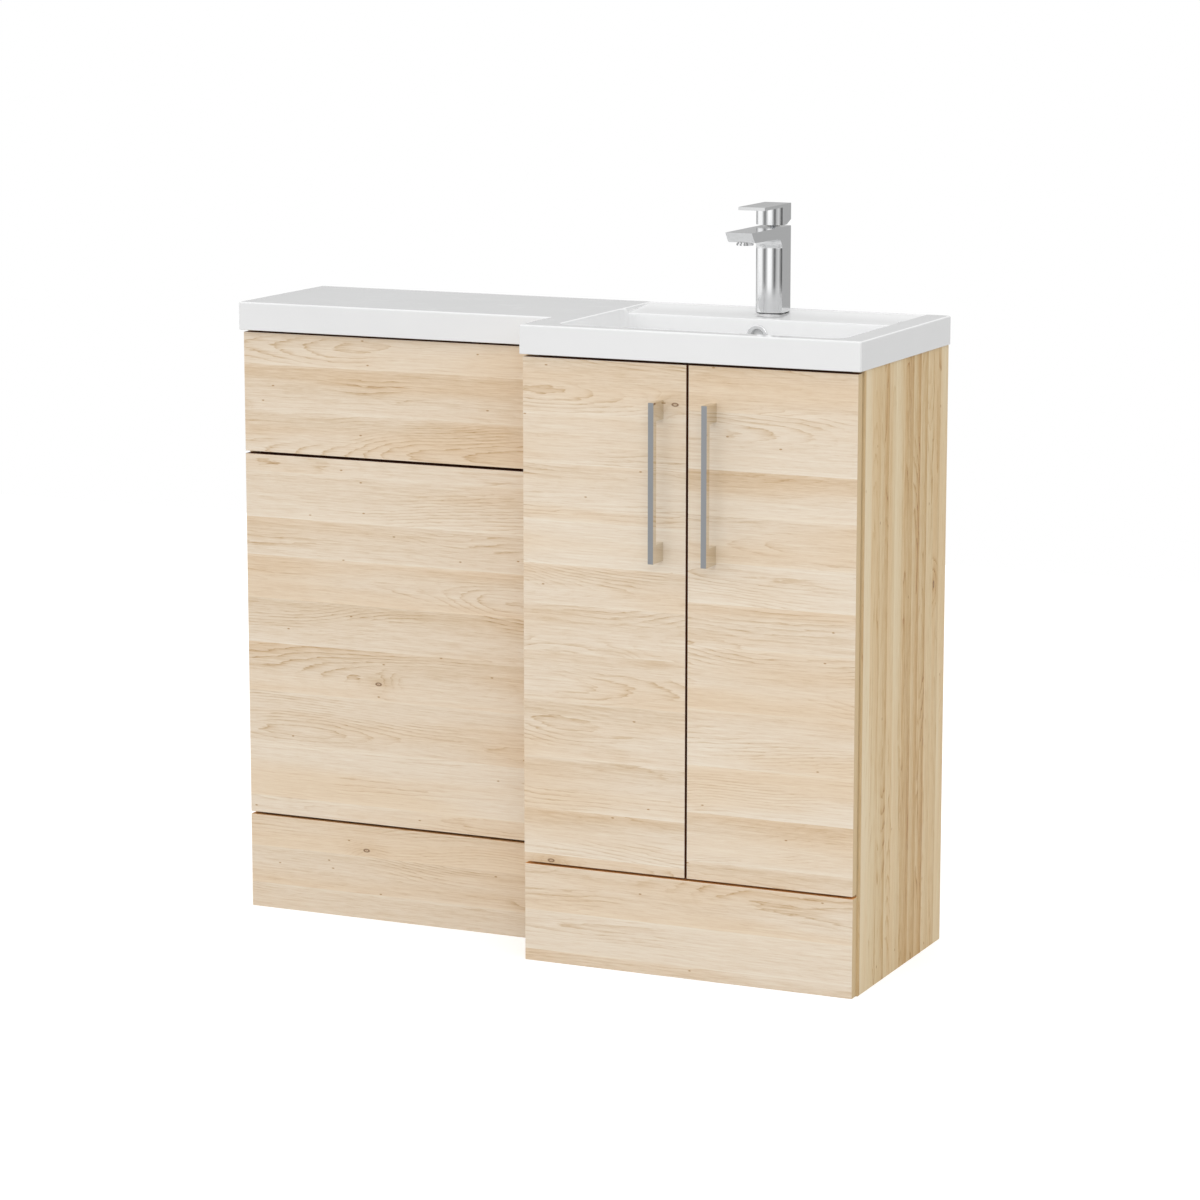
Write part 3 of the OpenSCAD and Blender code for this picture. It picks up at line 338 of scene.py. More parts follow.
class Wiring:
    """Adds nodes to one node tree and joins them."""

    def __init__(self, tree: bpy.types.NodeTree) -> None:
        """Keeps the tree that the nodes go into."""
        self.tree = tree

    def feed(self, socket: Socket, value: Any) -> None:
        """Links a socket to another one, or sets it to a plain value.

        Args:
            socket: the input.
            value: another node's output, or a number, colour or vector.
        """
        if isinstance(value, Socket):
            self.tree.links.new(value, socket)
        else:
            socket.default_value = value

    def add(
        self, kind: str, inputs: dict[str, Any] | None = None, **settings: Any
    ) -> bpy.types.Node:
        """Adds a node.

        Args:
            kind: the node's type.
            inputs: what each named input is linked or set to.
            settings: the node's own properties.

        Returns:
            The node.
        """
        node = self.tree.nodes.new(kind)
        for name, value in settings.items():
            setattr(node, name, value)
        for name, value in (inputs or {}).items():
            self.feed(node.inputs[name], value)
        return node

    def math(self, operation: str, *values: Any, clamp: bool = False) -> Socket:
        """One step of arithmetic.

        Args:
            operation: which one.
            values: up to three values.
            clamp: whether the result is kept between 0 and 1.

        Returns:
            The result.
        """
        node = self.add("ShaderNodeMath", operation=operation, use_clamp=clamp)
        for socket, value in zip(node.inputs, values):
            self.feed(socket, value)
        return node.outputs[0]

    def times(self, first: Any, second: Any) -> Socket:
        """The product of two values."""
        return self.math("MULTIPLY", first, second)

    def sloped(self, value: Any, slope: Any, start: Any) -> Socket:
        """A value times a slope, plus a start."""
        return self.math("MULTIPLY_ADD", value, slope, start)

    def centred(self, value: Any, weight: Any) -> Socket:
        """A value less a half, times a weight."""
        return self.times(self.math("SUBTRACT", value, 0.5), weight)

    def total(self, *values: Any) -> Socket:
        """The sum of several values.

        Args:
            values: two or more values.

        Returns:
            The sum.
        """
        result = values[0]
        for value in values[1:]:
            result = self.math("ADD", result, value)
        return result

    def blend(self, share: Any, first: Any, second: Any, how: str = "MIX") -> Socket:
        """Mixes two colours.

        Args:
            share: the second colour's share, from 0 to 1.
            first: the first colour.
            second: the second colour.
            how: the way of mixing.

        Returns:
            The mixed colour.
        """
        node = self.add("ShaderNodeMix", data_type="RGBA", blend_type=how)
        for index, value in ((0, share), (6, first), (7, second)):
            self.feed(node.inputs[index], value)
        return node.outputs[2]

    def ease(
        self, value: Any, low: float, high: float, start: float = 0.0, end: float = 1.0
    ) -> Socket:
        """Runs smoothly from one number to another.

        Args:
            value: what the result follows.
            low: the value up to which the result is start.
            high: the value from which it is end.
            start: the first number.
            end: the last number.

        Returns:
            The result.
        """
        inputs = {"Value": value, "From Min": low, "From Max": high, "To Min": start, "To Max": end}
        node = self.add("ShaderNodeMapRange", inputs, interpolation_type="SMOOTHSTEP")
        return node.outputs["Result"]

    def ramp(
        self, value: Any, stops: Sequence[tuple[float, Colour]], how: str = "LINEAR"
    ) -> Socket:
        """Colours a value.

        Args:
            value: a value from 0 to 1.
            stops: place and colour of each stop, in order.
            how: the way of running from stop to stop.

        Returns:
            The colour.
        """
        node = self.add("ShaderNodeValToRGB", {"Fac": value})
        node.color_ramp.interpolation = how
        elements = node.color_ramp.elements
        for element, (place, colour) in zip((elements[0], elements[1]), (stops[0], stops[-1])):
            element.position, element.color = place, colour
        for place, colour in stops[1:-1]:
            elements.new(place).color = colour
        return node.outputs["Color"]

    def parts(self, vector: Any) -> tuple[Socket, ...]:
        """The three numbers of a vector."""
        return tuple(self.add("ShaderNodeSeparateXYZ", {"Vector": vector}).outputs)

    def facing(self) -> tuple[Socket, ...]:
        """Which way the surface looks along the object's x, y and z."""
        return self.parts(self.add("ShaderNodeTexCoord").outputs["Normal"])

    def channels(self, colour: Any) -> tuple[Socket, ...]:
        """The red, green and blue of a colour."""
        return tuple(self.add("ShaderNodeSeparateColor", {"Color": colour}).outputs)

    def vector(self, x: Any, y: Any, z: Any) -> Socket:
        """A vector from three numbers."""
        return self.add("ShaderNodeCombineXYZ", {"X": x, "Y": y, "Z": z}).outputs[0]

    def stretched(self, vector: Any, scales: Triple) -> Socket:
        """A vector with each of its numbers multiplied by its own scale.

        Args:
            vector: the vector.
            scales: the three scales.

        Returns:
            The longer or shorter vector.
        """
        node = self.add("ShaderNodeVectorMath", operation="MULTIPLY")
        self.feed(node.inputs[0], vector)
        node.inputs[1].default_value = scales
        return node.outputs[0]

    def noise(self, vector: Any, scale: Any, detail: float = 2.0, rough: float = 0.5) -> Socket:
        """Cloudy noise from 0 to 1, mostly near a half."""
        inputs = {"Vector": vector, "Scale": scale, "Detail": detail, "Roughness": rough}
        return self.add("ShaderNodeTexNoise", inputs).outputs["Fac"]

    def strands(
        self,
        vector: Any,
        scales: Triple,
        detail: float = 2.0,
        rough: float = 0.5,
    ) -> Socket:
        """Noise drawn out by a scale of its own along each axis."""
        return self.noise(self.stretched(vector, scales), 1.0, detail, rough)

    def cells(self, place: dict[str, Any], scatter: float, **settings: Any) -> bpy.types.Node:
        """Cells round scattered points, each with its own chance colour."""
        inputs = {**place, "Scale": 1.0, "Randomness": scatter}
        return self.add("ShaderNodeTexVoronoi", inputs, **settings)

    def bump(self, strength: float, distance: float, height: Any) -> Socket:
        """The normal over a relief of a height from 0 to 1, times a distance in metres."""
        inputs = {"Strength": strength, "Distance": distance, "Height": height}
        return self.add("ShaderNodeBump", inputs).outputs[0]


class Effect(Enum):
    """The shader effects that several finishes share, each built once."""

    OAK_FIGURE = "oak_figure"
    HANDLING = "handling"
    FINE_SKIN = "fine_skin"
    BRUSHING = "brushing"


def new_group(
    which: Effect, inputs: dict[str, float | None], outputs: Sequence[str]
) -> tuple[bpy.types.NodeTree, Wiring, Any, Any]:
    """Starts a shader node group.

    Args:
        which: the effect that the group holds.
        inputs: each input's name and its default; None makes a vector input.
        outputs: the names of the outputs, all plain numbers.

    Returns:
        The tree, its wiring, the input sockets and the node that takes the outputs.
    """
    tree = bpy.data.node_groups.new(which.value, "ShaderNodeTree")
    for title, value in inputs.items():
        kind = "NodeSocketVector" if value is None else "NodeSocketFloat"
        socket = tree.interface.new_socket(title, in_out="INPUT", socket_type=kind)
        if value is not None:
            socket.default_value = value
    for title in outputs:
        tree.interface.new_socket(title, in_out="OUTPUT", socket_type="NodeSocketFloat")
    wiring = Wiring(tree)
    return tree, wiring, wiring.add("NodeGroupInput").outputs, wiring.add("NodeGroupOutput").inputs


@dataclass(frozen=True)
class SawnOak:
    """The figure of sawn oak, in metres; scales are per metre.

    Across the grain the board is cut into staves of uneven height. In each stave the growth rings
    are circles round a heart at its own depth below the surface, pushed along the grain by slow
    noise, so that they show as straight lines in some places and as arches in others; near a knot
    they bulge.

    The fields that end in dark are what each part of the figure adds to the tone, and those that
    end in height are what it adds to the relief.
    """

    stave_scatter: float = 0.85
    stave_slide: float = 7.0
    seed_shift: float = 3.17
    knot_scales: Triple = (2.3, 4.6, 5.1)
    knot_chance: float = 0.38
    bark_radius: float = 0.009
    bark_edge: Pair = (0.001, 0.006)
    pith_radius: float = 0.004
    halo_radius: float = 0.12
    fleck_scales: Pair = (11.0, 26.0)
    fleck_chance: float = 0.8
    fleck_edge: Pair = (0.012, 0.034)
    drift_scales: Triple = (1.7, 5.0, 19.0)
    drift_push: float = 0.13
    heart_least: float = 0.008
    heart_range: float = 0.030
    heart_aside: float = 1.6
    run_out: float = 0.014
    ring_gap: float = 0.0048
    ring_bulge: float = 2.4
    ring_shiver: float = 0.8
    shiver_scales: Triple = (30.0, 260.0, 8.0)
    ring_fade: float = 4.5
    ring_end: float = 0.92
    ring_faint: float = 0.16
    clear_scales: Pair = (3.4, 1.3)
    clear_edge: Pair = (0.49, 0.62)
    fibre_scales: Triple = (9.0, 380.0, 30.0)
    grit_scales: Triple = (34.0, 520.0, 60.0)
    band_scales: Pair = (1.3, 34.0)
    pore_scales: Triple = (75.0, 1300.0, 60.0)
    pore_edge: Pair = (0.61, 0.73)
    warmth_scales: Triple = (1.4, 0.8, 7.0)
    fade_power: float = 1.8
    fade_least: float = 0.1
    seam_width: float = 0.09
    plain_dark: float = 0.24
    ring_dark: float = 0.64
    fibre_dark: float = 1.1
    grit_dark: float = 0.55
    band_dark: float = 0.34
    fade_dark: float = 0.38
    seam_dark: float = -0.15
    halo_dark: float = 0.22
    fleck_dark: float = 0.7
    pore_dark: float = 0.14
    fibre_height: float = 0.5
    pore_height: float = -0.8
    ring_height: float = -0.35

    def knots(self, w: Wiring, along: Socket, across: Socket, seed: Socket) -> tuple[Socket, ...]:
        """Scatters knots and flecks.

        A knot is a ring of bark round a small pith, in some of the cells round scattered points.

        Args:
            w: the group's wiring.
            along: place along the grain.
            across: place across the grain.
            seed: the board's seed.

        Returns:
            The brown of the knots, the halo round each one and the flecks, each from 0 to 1.
        """
        x, y, z = self.knot_scales
        spot = w.vector(w.times(along, x), w.total(w.times(across, y), seed), w.times(seed, z))
        knot = w.cells({"Vector": spot}, 1.0, voronoi_dimensions="2D")
        chance = w.channels(knot.outputs["Color"])[1]
        gate = w.math("GREATER_THAN", chance, self.knot_chance)
        near = knot.outputs["Distance"]
        off = w.math("ABSOLUTE", w.math("SUBTRACT", near, self.bark_radius))
        bark = w.ease(off, *self.bark_edge, 1.0, 0.0)
        pith = w.ease(near, 0.0, self.pith_radius, 1.0, 0.0)
        brown = w.times(w.math("MAXIMUM", bark, pith), gate)
        halo = w.times(w.ease(near, 0.0, self.halo_radius, 1.0, 0.0), gate)

        x, y = self.fleck_scales
        spray = w.vector(w.times(along, x), w.times(across, y), seed)
        fleck = w.cells({"Vector": spray}, 1.0, voronoi_dimensions="2D")
        rare = w.math("GREATER_THAN", w.channels(fleck.outputs["Color"])[0], self.fleck_chance)
        dot = w.times(w.ease(fleck.outputs["Distance"], *self.fleck_edge, 1.0, 0.0), rare)
        return brown, halo, dot

    def group(self) -> bpy.types.NodeTree:
        """Makes the group.

        Its vector is the place along the grain, across it and into the board. Tone is how dark the
        wood is, Knot is the brown of a knot, Relief is the height of the pores and lines, and
        Warmth is where the wood is warmer.

        Returns:
            The node tree.
        """
        tree, w, given, result = new_group(
            Effect.OAK_FIGURE,
            {"Vector": None, "Stave": 0.07, "Seed": 0.0, "Figure": 1.0, "Strip": 0.15},
            ("Tone", "Knot", "Relief", "Warmth"),
        )
        place, stave, seed = given["Vector"], given["Stave"], given["Seed"]
        u, v, depth = w.parts(place)
        rows = w.total(w.math("DIVIDE", v, stave), w.times(seed, self.seed_shift))
        cell, seam_and_gap_shade = (
            w.cells({"W": rows}, self.stave_scatter, voronoi_dimensions="1D", feature=feature)
            for feature in ("F1", "DISTANCE_TO_EDGE")
        )
        r1, r2, r3 = w.channels(cell.outputs["Color"])
        local = w.times(w.math("SUBTRACT", rows, cell.outputs["W"]), stave)
        along = w.total(u, w.times(r2, self.stave_slide), seed)
        brown, halo, dot = self.knots(w, along, v, seed)

        x, y, shift = self.drift_scales
        drift = w.vector(w.times(along, x), w.sloped(local, y, w.times(r1, shift)), r3)
        push = w.centred(w.noise(drift, 1.0, 2.0, 0.4), self.drift_push)
        heart = w.sloped(r3, self.heart_range, self.heart_least)
        offset = w.math("SUBTRACT", r1, 0.5)
        aside = w.sloped(offset, w.times(stave, self.heart_aside), local)
        ring = w.math("SQRT", w.total(w.times(aside, aside), w.times(heart, heart)))
        shiver = w.centred(w.strands(place, self.shiver_scales), self.ring_shiver)
        depths = w.total(ring, push, w.times(along, self.run_out))
        gaps = w.math("DIVIDE", depths, self.ring_gap)
        phase = w.math("FRACT", w.total(gaps, w.times(halo, self.ring_bulge), shiver))
        end = w.ease(phase, self.ring_end, 1.0, 1.0, 0.0)
        line = w.times(w.math("POWER", phase, self.ring_fade), end)
        x, y = self.clear_scales
        patch = w.vector(w.times(along, x), w.times(rows, y), seed)
        clear = w.ease(w.noise(patch, 1.0, 2.0, 0.5), *self.clear_edge)
        shown = w.sloped(clear, 1.0 - self.ring_faint, self.ring_faint)
        figure = w.times(w.times(line, shown), given["Figure"])

        fibre = w.strands(place, self.fibre_scales, 5.0, 0.85)
        grit = w.strands(place, self.grit_scales, 2.0, 0.6)
        x, y = self.band_scales
        band = w.noise(w.vector(w.times(along, x), w.times(v, y), depth), 1.0, 3.0, 0.6)
        pore = w.ease(w.strands(place, self.pore_scales, 1.0), *self.pore_edge)
        height = w.math("ADD", 0.5, w.math("DIVIDE", local, stave), clamp=True)
        faded = w.sloped(r3, 1.0 - self.fade_least, self.fade_least)
        fade = w.times(w.math("POWER", height, self.fade_power), faded)
        edge = w.ease(seam_and_gap_shade.outputs["Distance"], 0.0, self.seam_width, 1.0, 0.0)
        tone = w.total(
            w.times(figure, self.ring_dark),
            w.centred(fibre, self.fibre_dark),
            w.centred(grit, self.grit_dark),
            w.centred(band, self.band_dark),
            w.centred(r1, given["Strip"]),
            w.times(fade, self.fade_dark),
            w.times(edge, self.seam_dark),
            w.times(halo, self.halo_dark),
            w.times(dot, self.fleck_dark),
            w.times(pore, self.pore_dark),
        )
        w.feed(result["Tone"], w.math("ADD", tone, self.plain_dark, clamp=True))
        w.feed(result["Knot"], brown)
        relief = w.total(
            w.times(fibre, self.fibre_height),
            w.times(pore, self.pore_height),
            w.times(line, self.ring_height),
        )
        w.feed(result["Relief"], relief)
        x, y, z = self.warmth_scales
        w.feed(result["Warmth"], w.noise(w.vector(w.times(along, x), w.times(rows, y), z), 1.0))
        return tree


def handling() -> bpy.types.NodeTree:
    """Group: faint smears and settled dust.

    Smear is soft cloud broken by upright streaks. Dust is specks on faces that look up.

    Returns:
        The node tree.
    """
    streak_scales, speck_scale = (60.0, 60.0, 9.0), 420.0
    cloud_edge, streak_edge = (0.42, 0.68), (0.35, 0.7)
    level_edge, speck_edge = (0.55, 1.0), (0.52, 0.72)
    inputs = {"Vector": None, "Scale": 18.0}
    tree, w, given, result = new_group(Effect.HANDLING, inputs, ("Smear", "Dust"))
    cloud = w.ease(w.noise(given["Vector"], given["Scale"], 4.0, 0.6), *cloud_edge)
    streak = w.ease(w.strands(given["Vector"], streak_scales, 3.0, 0.6), *streak_edge)
    w.feed(result["Smear"], w.times(cloud, streak))
    speck = w.ease(w.noise(given["Vector"], speck_scale, 2.0, 0.7), *speck_edge)
    w.feed(result["Dust"], w.times(w.ease(w.facing()[2], *level_edge), speck))
    return tree


def fine_skin() -> bpy.types.NodeTree:
    """Group: the low waves of a moulded or sprayed skin.

    Height is coarse and fine noise together. Mottle is slow noise.

    Returns:
        The node tree.
    """
    grain_scale, grain_share, mottle_scale = 1900.0, 0.12, 5.0
    inputs = {"Vector": None, "Scale": 120.0}
    tree, w, given, result = new_group(Effect.FINE_SKIN, inputs, ("Height", "Mottle"))
    waves = w.noise(given["Vector"], given["Scale"], 2.0, 0.5)
    grains = w.noise(given["Vector"], grain_scale, 1.0, 0.5)
    w.feed(result["Height"], w.total(waves, w.times(grains, grain_share)))
    w.feed(result["Mottle"], w.noise(given["Vector"], mottle_scale, 3.0, 0.55))
    return tree


def brushing() -> bpy.types.NodeTree:
    """Group: drawn or brushed lines along z, and small rolled or tumbled pits.

    Returns:
        The node tree.
    """
    line_scales, pit_scale, pit_edge = (2600.0, 2600.0, 22.0), 900.0, (0.56, 0.74)
    tree, w, given, result = new_group(Effect.BRUSHING, {"Vector": None}, ("Lines", "Pits"))
    w.feed(result["Lines"], w.strands(given["Vector"], line_scales, 3.0, 0.65))
    w.feed(result["Pits"], w.ease(w.noise(given["Vector"], pit_scale, 2.0, 0.6), *pit_edge))
    return tree


MAKERS: dict[Effect, Callable[[], bpy.types.NodeTree]] = {
    Effect.OAK_FIGURE: SawnOak().group,
    Effect.HANDLING: handling,
    Effect.FINE_SKIN: fine_skin,
    Effect.BRUSHING: brushing,
}


def effect(wiring: Wiring, which: Effect, inputs: dict[str, Any]) -> Any:
    """Places a shared effect in a material.

    Args:
        wiring: the material's wiring.
        which: the effect.
        inputs: its named inputs.

    Returns:
        The effect's outputs, by name.
    """
    tree = bpy.data.node_groups.get(which.value) or MAKERS[which]()
    return wiring.add("ShaderNodeGroup", inputs, node_tree=tree).outputs


def new_material(name: str) -> tuple[bpy.types.Material, Wiring, Socket, Any]:
    """Starts a material with one Principled shader.

    Args:
        name: the material's name.

    Returns:
        The material, its wiring, the Object coordinates and the shader's inputs.
    """
    material = bpy.data.materials.new(name)
    material.use_nodes = True
    material.node_tree.nodes.clear()
    wiring = Wiring(material.node_tree)
    shader = wiring.add("ShaderNodeBsdfPrincipled")
    output = wiring.add("ShaderNodeOutputMaterial", {"Surface": shader.outputs[0]})
    output.is_active_output = True
    return material, wiring, wiring.add("ShaderNodeTexCoord").outputs["Object"], shader.inputs


# ---------------------------------------------------------------- finishes


class Grain(Enum):
    """Which way the grain runs: the object's axes along it, across it and into the board."""

    ACROSS_FRONT = (0, 2, 1)
    UP_SIDE = (2, 1, 0)
    ALONG_LEVEL = (0, 1, 2)


@dataclass(frozen=True)
class OakFoil:
    """Pale oak foil on board, satin, with its figure laid out from its own seed.

    The wood's colour runs from pale over body and deep to late as its tone goes from 0 to 1, and
    the board's edges have plain banding. Faces that look along the directions in shadowed, into
    the gaps between the fronts, are matt and painted in the gap shade's dark brown: painted shade
    that stands in for the shadow in the gaps. A direction is an axis number and its sign.
    """

    seed: float
    grain: Grain = Grain.ACROSS_FRONT
    stave: float = 0.068
    figure: float = 1.0
    strip: float = 0.24
    shadowed: tuple[tuple[int, int], ...] = ()
    pale: Colour = srgb(240, 228, 210)
    body: Colour = srgb(231, 214, 192)
    deep: Colour = srgb(214, 190, 158)
    late: Colour = srgb(182, 148, 108)
    knot: Colour = srgb(126, 90, 58)
    band: Colour = srgb(226, 199, 155)
    # Painted shade: the dark brown laid on faces that look into the gaps between the fronts.
    seam_and_gap_shade: Colour = srgb(110, 58, 24)
    warm: Colour = (0.93, 0.80, 0.63, 1.0)
    tones: tuple[float, ...] = (0.0, 0.34, 0.7, 1.0)
    warm_share: float = 0.5
    warm_edge: Pair = (0.4, 0.65)
    knot_share: float = 0.85
    strand_scales: Triple = (14.0, 500.0, 14.0)
    satin: float = 0.47
    matt: float = 0.92
    face_edge: Pair = (0.3, 0.75)
    away_edge: Pair = (0.55, 0.8)
    band_shade: float = 0.8
    tone_gloss: float = -0.08
    smear_gloss: float = -0.05
    smear_scale: float = 9.0
    relief: Pair = (0.35, 0.00018)
    specular: float = 0.4

    def face(self, w: Wiring, figure: Any) -> Socket:
        """The colour of the board's faces.

        Args:
            w: the material's wiring.
            figure: the outputs of the oak's figure.

        Returns:
            The colour.
        """
        stops = list(zip(self.tones, (self.pale, self.body, self.deep, self.late)))
        colour = w.ramp(figure["Tone"], stops)
        warm = w.times(w.ease(figure["Warmth"], *self.warm_edge), self.warm_share)
        colour = w.blend(warm, colour, self.warm, "MULTIPLY")
        return w.blend(w.times(figure["Knot"], self.knot_share), colour, self.knot)

    def material(self, name: str) -> bpy.types.Material:
        """The finish as a material.

        Args:
            name: the material's name.

        Returns:
            The material.
        """
        material, w, place, shader = new_material(name)
        axes = w.parts(place)
        wood = w.vector(*(axes[k] for k in self.grain.value))
        layout = {"Stave": self.stave, "Seed": self.seed}
        amount = {"Figure": self.figure, "Strip": self.strip}
        figure = effect(w, Effect.OAK_FIGURE, {"Vector": wood, **layout, **amount})
        colour = self.face(w, figure)
        facing = w.facing()
        flat = w.math("ABSOLUTE", facing[self.grain.value[2]])
        rim = w.ease(flat, *self.face_edge, 1.0, 0.0)
        strand = w.strands(place, self.strand_scales, 2.0, 0.6)
        banding = w.blend(strand, self.band, dimmed(self.band, self.band_shade))
        colour = w.blend(rim, colour, banding)
        shade: Any = 0.0
        # Painted shade: faces that look into the gaps are painted dark brown and made matt, in
        # place of the shadow there.
        for axis, sign in self.shadowed:
            gap_shade_mask = w.ease(w.times(facing[axis], float(sign)), *self.away_edge)
            colour = w.blend(gap_shade_mask, colour, self.seam_and_gap_shade)
            shade = w.math("MAXIMUM", shade, gap_shade_mask)
        w.feed(shader["Base Color"], colour)
        marks = effect(w, Effect.HANDLING, {"Vector": place, "Scale": self.smear_scale})
        satin = w.sloped(figure["Tone"], self.tone_gloss, self.satin)
        rough = w.math("MAXIMUM", satin, w.times(shade, self.matt))
        w.feed(shader["Roughness"], w.sloped(marks["Smear"], self.smear_gloss, rough))
        w.feed(shader["Normal"], w.bump(*self.relief, figure["Relief"]))
        shader["Specular IOR Level"].default_value = self.specular
        return material


@dataclass(frozen=True)
class Metal:
    """A metal with a brushed, tumbled or polished face.

    Brush is how much drawn lines show, smear how much handling marks roughen it and pits how much
    small marks darken it. Where front_rough is set, faces that look to the front are satin at that
    roughness and in front_colour, and the rest is polished.
    """

    colour: Colour
    rough: float
    brush: float = 0.0
    smear: float = 0.05
    pits: float = 0.0
    front_rough: float | None = None
    front_colour: Colour | None = None
    front_edge: Pair = (0.6, 0.9)
    smear_scale: float = 40.0
    worn_shade: float = 0.72
    brush_rough: float = 0.4
    brush_least: float = 0.02
    relief: Pair = (0.12, 0.0001)

    def material(self, name: str) -> bpy.types.Material:
        """The finish as a material.

        Args:
            name: the material's name.

        Returns:
            The material.
        """
        material, w, place, shader = new_material(name)
        marks = effect(w, Effect.HANDLING, {"Vector": place, "Scale": self.smear_scale})
        lines = effect(w, Effect.BRUSHING, {"Vector": place})
        dark = dimmed(self.colour, self.worn_shade)
        colour = w.blend(w.times(lines["Pits"], self.pits), self.colour, dark)
        rough = w.sloped(marks["Smear"], self.smear, self.rough)
        brush: Any = self.brush
        if self.front_rough is not None:
            front = w.ease(w.math("ABSOLUTE", w.facing()[1]), *self.front_edge)
            colour = w.blend(front, colour, self.front_colour)
            rough = w.sloped(front, self.front_rough - self.rough, rough)
            brush = w.times(front, self.brush)
        grey = w.centred(lines["Lines"], brush)
        w.feed(shader["Base Color"], w.blend(w.math("ABSOLUTE", grey), colour, dark))
        drawn = w.times(grey, self.brush_rough)
        w.feed(shader["Roughness"], w.math("ADD", rough, drawn, clamp=True))
        drawn = w.times(lines["Lines"], max(self.brush, self.brush_least))
        height = w.total(drawn, w.times(lines["Pits"], -self.pits))
        w.feed(shader["Normal"], w.bump(*self.relief, height))
        shader["Metallic"].default_value = 1.0
        return material


@dataclass(frozen=True)
class Moulded:
    """Cast resin, moulded plastic, rubber or fired ceramic.

    Its colour runs into the flow colour in slow marks, under a fine skin and perhaps a clear coat,
    with dust on faces that look up. Without a flow colour it is the colour dimmed by flow_shade.
    """

    colour: Colour
    rough: float
    flow: Colour | None = None
    flow_shade: float = 0.88
    flow_edge: Pair = (0.35, 0.7)
    skin: float = 0.15
    skin_scale: float = 260.0
    skin_depth: float = 0.0002
    smear_scale: float = 60.0
    smear_rough: float = 0.1
    dust: Colour = (0.5, 0.48, 0.45, 1.0)
    dust_share: float = 0.12
    coat: float = 0.0
    coat_rough: float = 0.03

    def material(self, name: str) -> bpy.types.Material:
        """The finish as a material.

        Args:
            name: the material's name.

        Returns:
            The material.
        """
        material, w, place, shader = new_material(name)
        skin = effect(w, Effect.FINE_SKIN, {"Vector": place, "Scale": self.skin_scale})
        marks = effect(w, Effect.HANDLING, {"Vector": place, "Scale": self.smear_scale})
        flow = self.flow or dimmed(self.colour, self.flow_shade)
        colour = w.blend(w.ease(skin["Mottle"], *self.flow_edge), self.colour, flow)
        dusty = w.times(marks["Dust"], self.dust_share)
        w.feed(shader["Base Color"], w.blend(dusty, colour, self.dust))
        w.feed(shader["Roughness"], w.sloped(marks["Smear"], self.smear_rough, self.rough))
        w.feed(shader["Normal"], w.bump(self.skin, self.skin_depth, skin["Height"]))
        shader["Coat Weight"].default_value = self.coat
        shader["Coat Roughness"].default_value = self.coat_rough
        return material


Finish = OakFoil | Metal | Moulded

CHROME = Metal(colour=(0.76, 0.765, 0.77, 1.0), rough=0.13, smear=0.04)
# Painted reflection: the polished sides' colour is tinted warm, like the oak doors that they
# reflect.
HANDLE = Metal(
    colour=(0.76, 0.71, 0.62, 1.0),
    rough=0.06,
    brush=0.3,
    front_rough=0.3,
    front_colour=(0.345, 0.355, 0.37, 1.0),
)
ZINC = Metal(colour=(0.62, 0.64, 0.67, 1.0), rough=0.32, smear=0.12, pits=0.6)
NICKEL = Metal(colour=(0.66, 0.64, 0.60, 1.0), rough=0.22, brush=0.15, smear=0.1, pits=0.3)
BRASS = Metal(colour=(0.72, 0.50, 0.22, 1.0), rough=0.26, brush=0.1, smear=0.14, pits=0.35)
PLATED_BRASS = replace(BRASS, colour=(0.7, 0.69, 0.66, 1.0))
GEL_COAT = Moulded(
    colour=(0.85, 0.852, 0.853, 1.0),
    rough=0.15,
    flow=(0.83, 0.832, 0.833, 1.0),
    skin=0.05,
    skin_scale=70.0,
    skin_depth=0.00025,
    smear_scale=14.0,
    smear_rough=0.03,
    dust=(0.6, 0.58, 0.56, 1.0),
    dust_share=0.03,
    coat=0.35,
    coat_rough=0.04,
)
WHITE_PLASTIC = Moulded(colour=(0.78, 0.78, 0.77, 1.0), rough=0.38)
CERAMIC = Moulded(colour=(0.86, 0.85, 0.82, 1.0), rough=0.12, skin=0.05, coat=0.6)
RUBBER = Moulded(colour=(0.022, 0.022, 0.024, 1.0), rough=0.62, skin=0.35)
BEECH = OakFoil(
    seed=4.4,
    grain=Grain.ALONG_LEVEL,
    stave=0.02,
    figure=0.5,
    pale=srgb(226, 196, 158),
    body=srgb(214, 178, 138),
    deep=srgb(192, 150, 108),
    late=srgb(160, 116, 78),
)


# ---------------------------------------------------------------- cabinets


@dataclass
class OakBoards:
    """A set of foiled boards: the foil that they share, each one's seed and grain, and edges."""

    slot: str
    foil: OakFoil
    boards: dict[str, tuple[float, Grain]]
    edge: float = 0.5

    def build(self) -> None:
        """Rounds each board's edges and lays its own stretch of oak on it."""
        for node, (seed, grain) in self.boards.items():
            foil = replace(self.foil, seed=seed, grain=grain)
            settle(softened(node, self.edge), self.slot, foil.material(f"oak_{node}"), node)


@dataclass
class Hardware:
    """CAD nodes that keep their shape and get a finish."""

    finish: Finish
    name: str
    nodes: tuple[str, ...]

    def build(self) -> None:
        """Gives the nodes their material."""
        material = self.finish.material(self.name)
        for node in self.nodes:
            dress(frame["nodes"][node], material)
            log.info("%s finished in %s", node, self.name)


@dataclass
class Fittings:
    """Metal pieces in sight, with their edges rounded."""

    finish: Metal
    name: str
    slot: str
    edges: dict[str, float]
    crease: float = 34.0
    steps: int = 3

    def filler(self, node: str) -> bpy.types.Object | None:
        """A shape that a node's copy takes in; plain fittings have none."""
        return None

    def build(self) -> None:
        """Rounds the pieces' edges and gives them their metal."""
        material = self.finish.material(self.name)
        for node, radius in self.edges.items():
            piece = softened(node, radius, self.crease, self.steps, self.filler(node))
            settle(piece, self.slot, material, node)


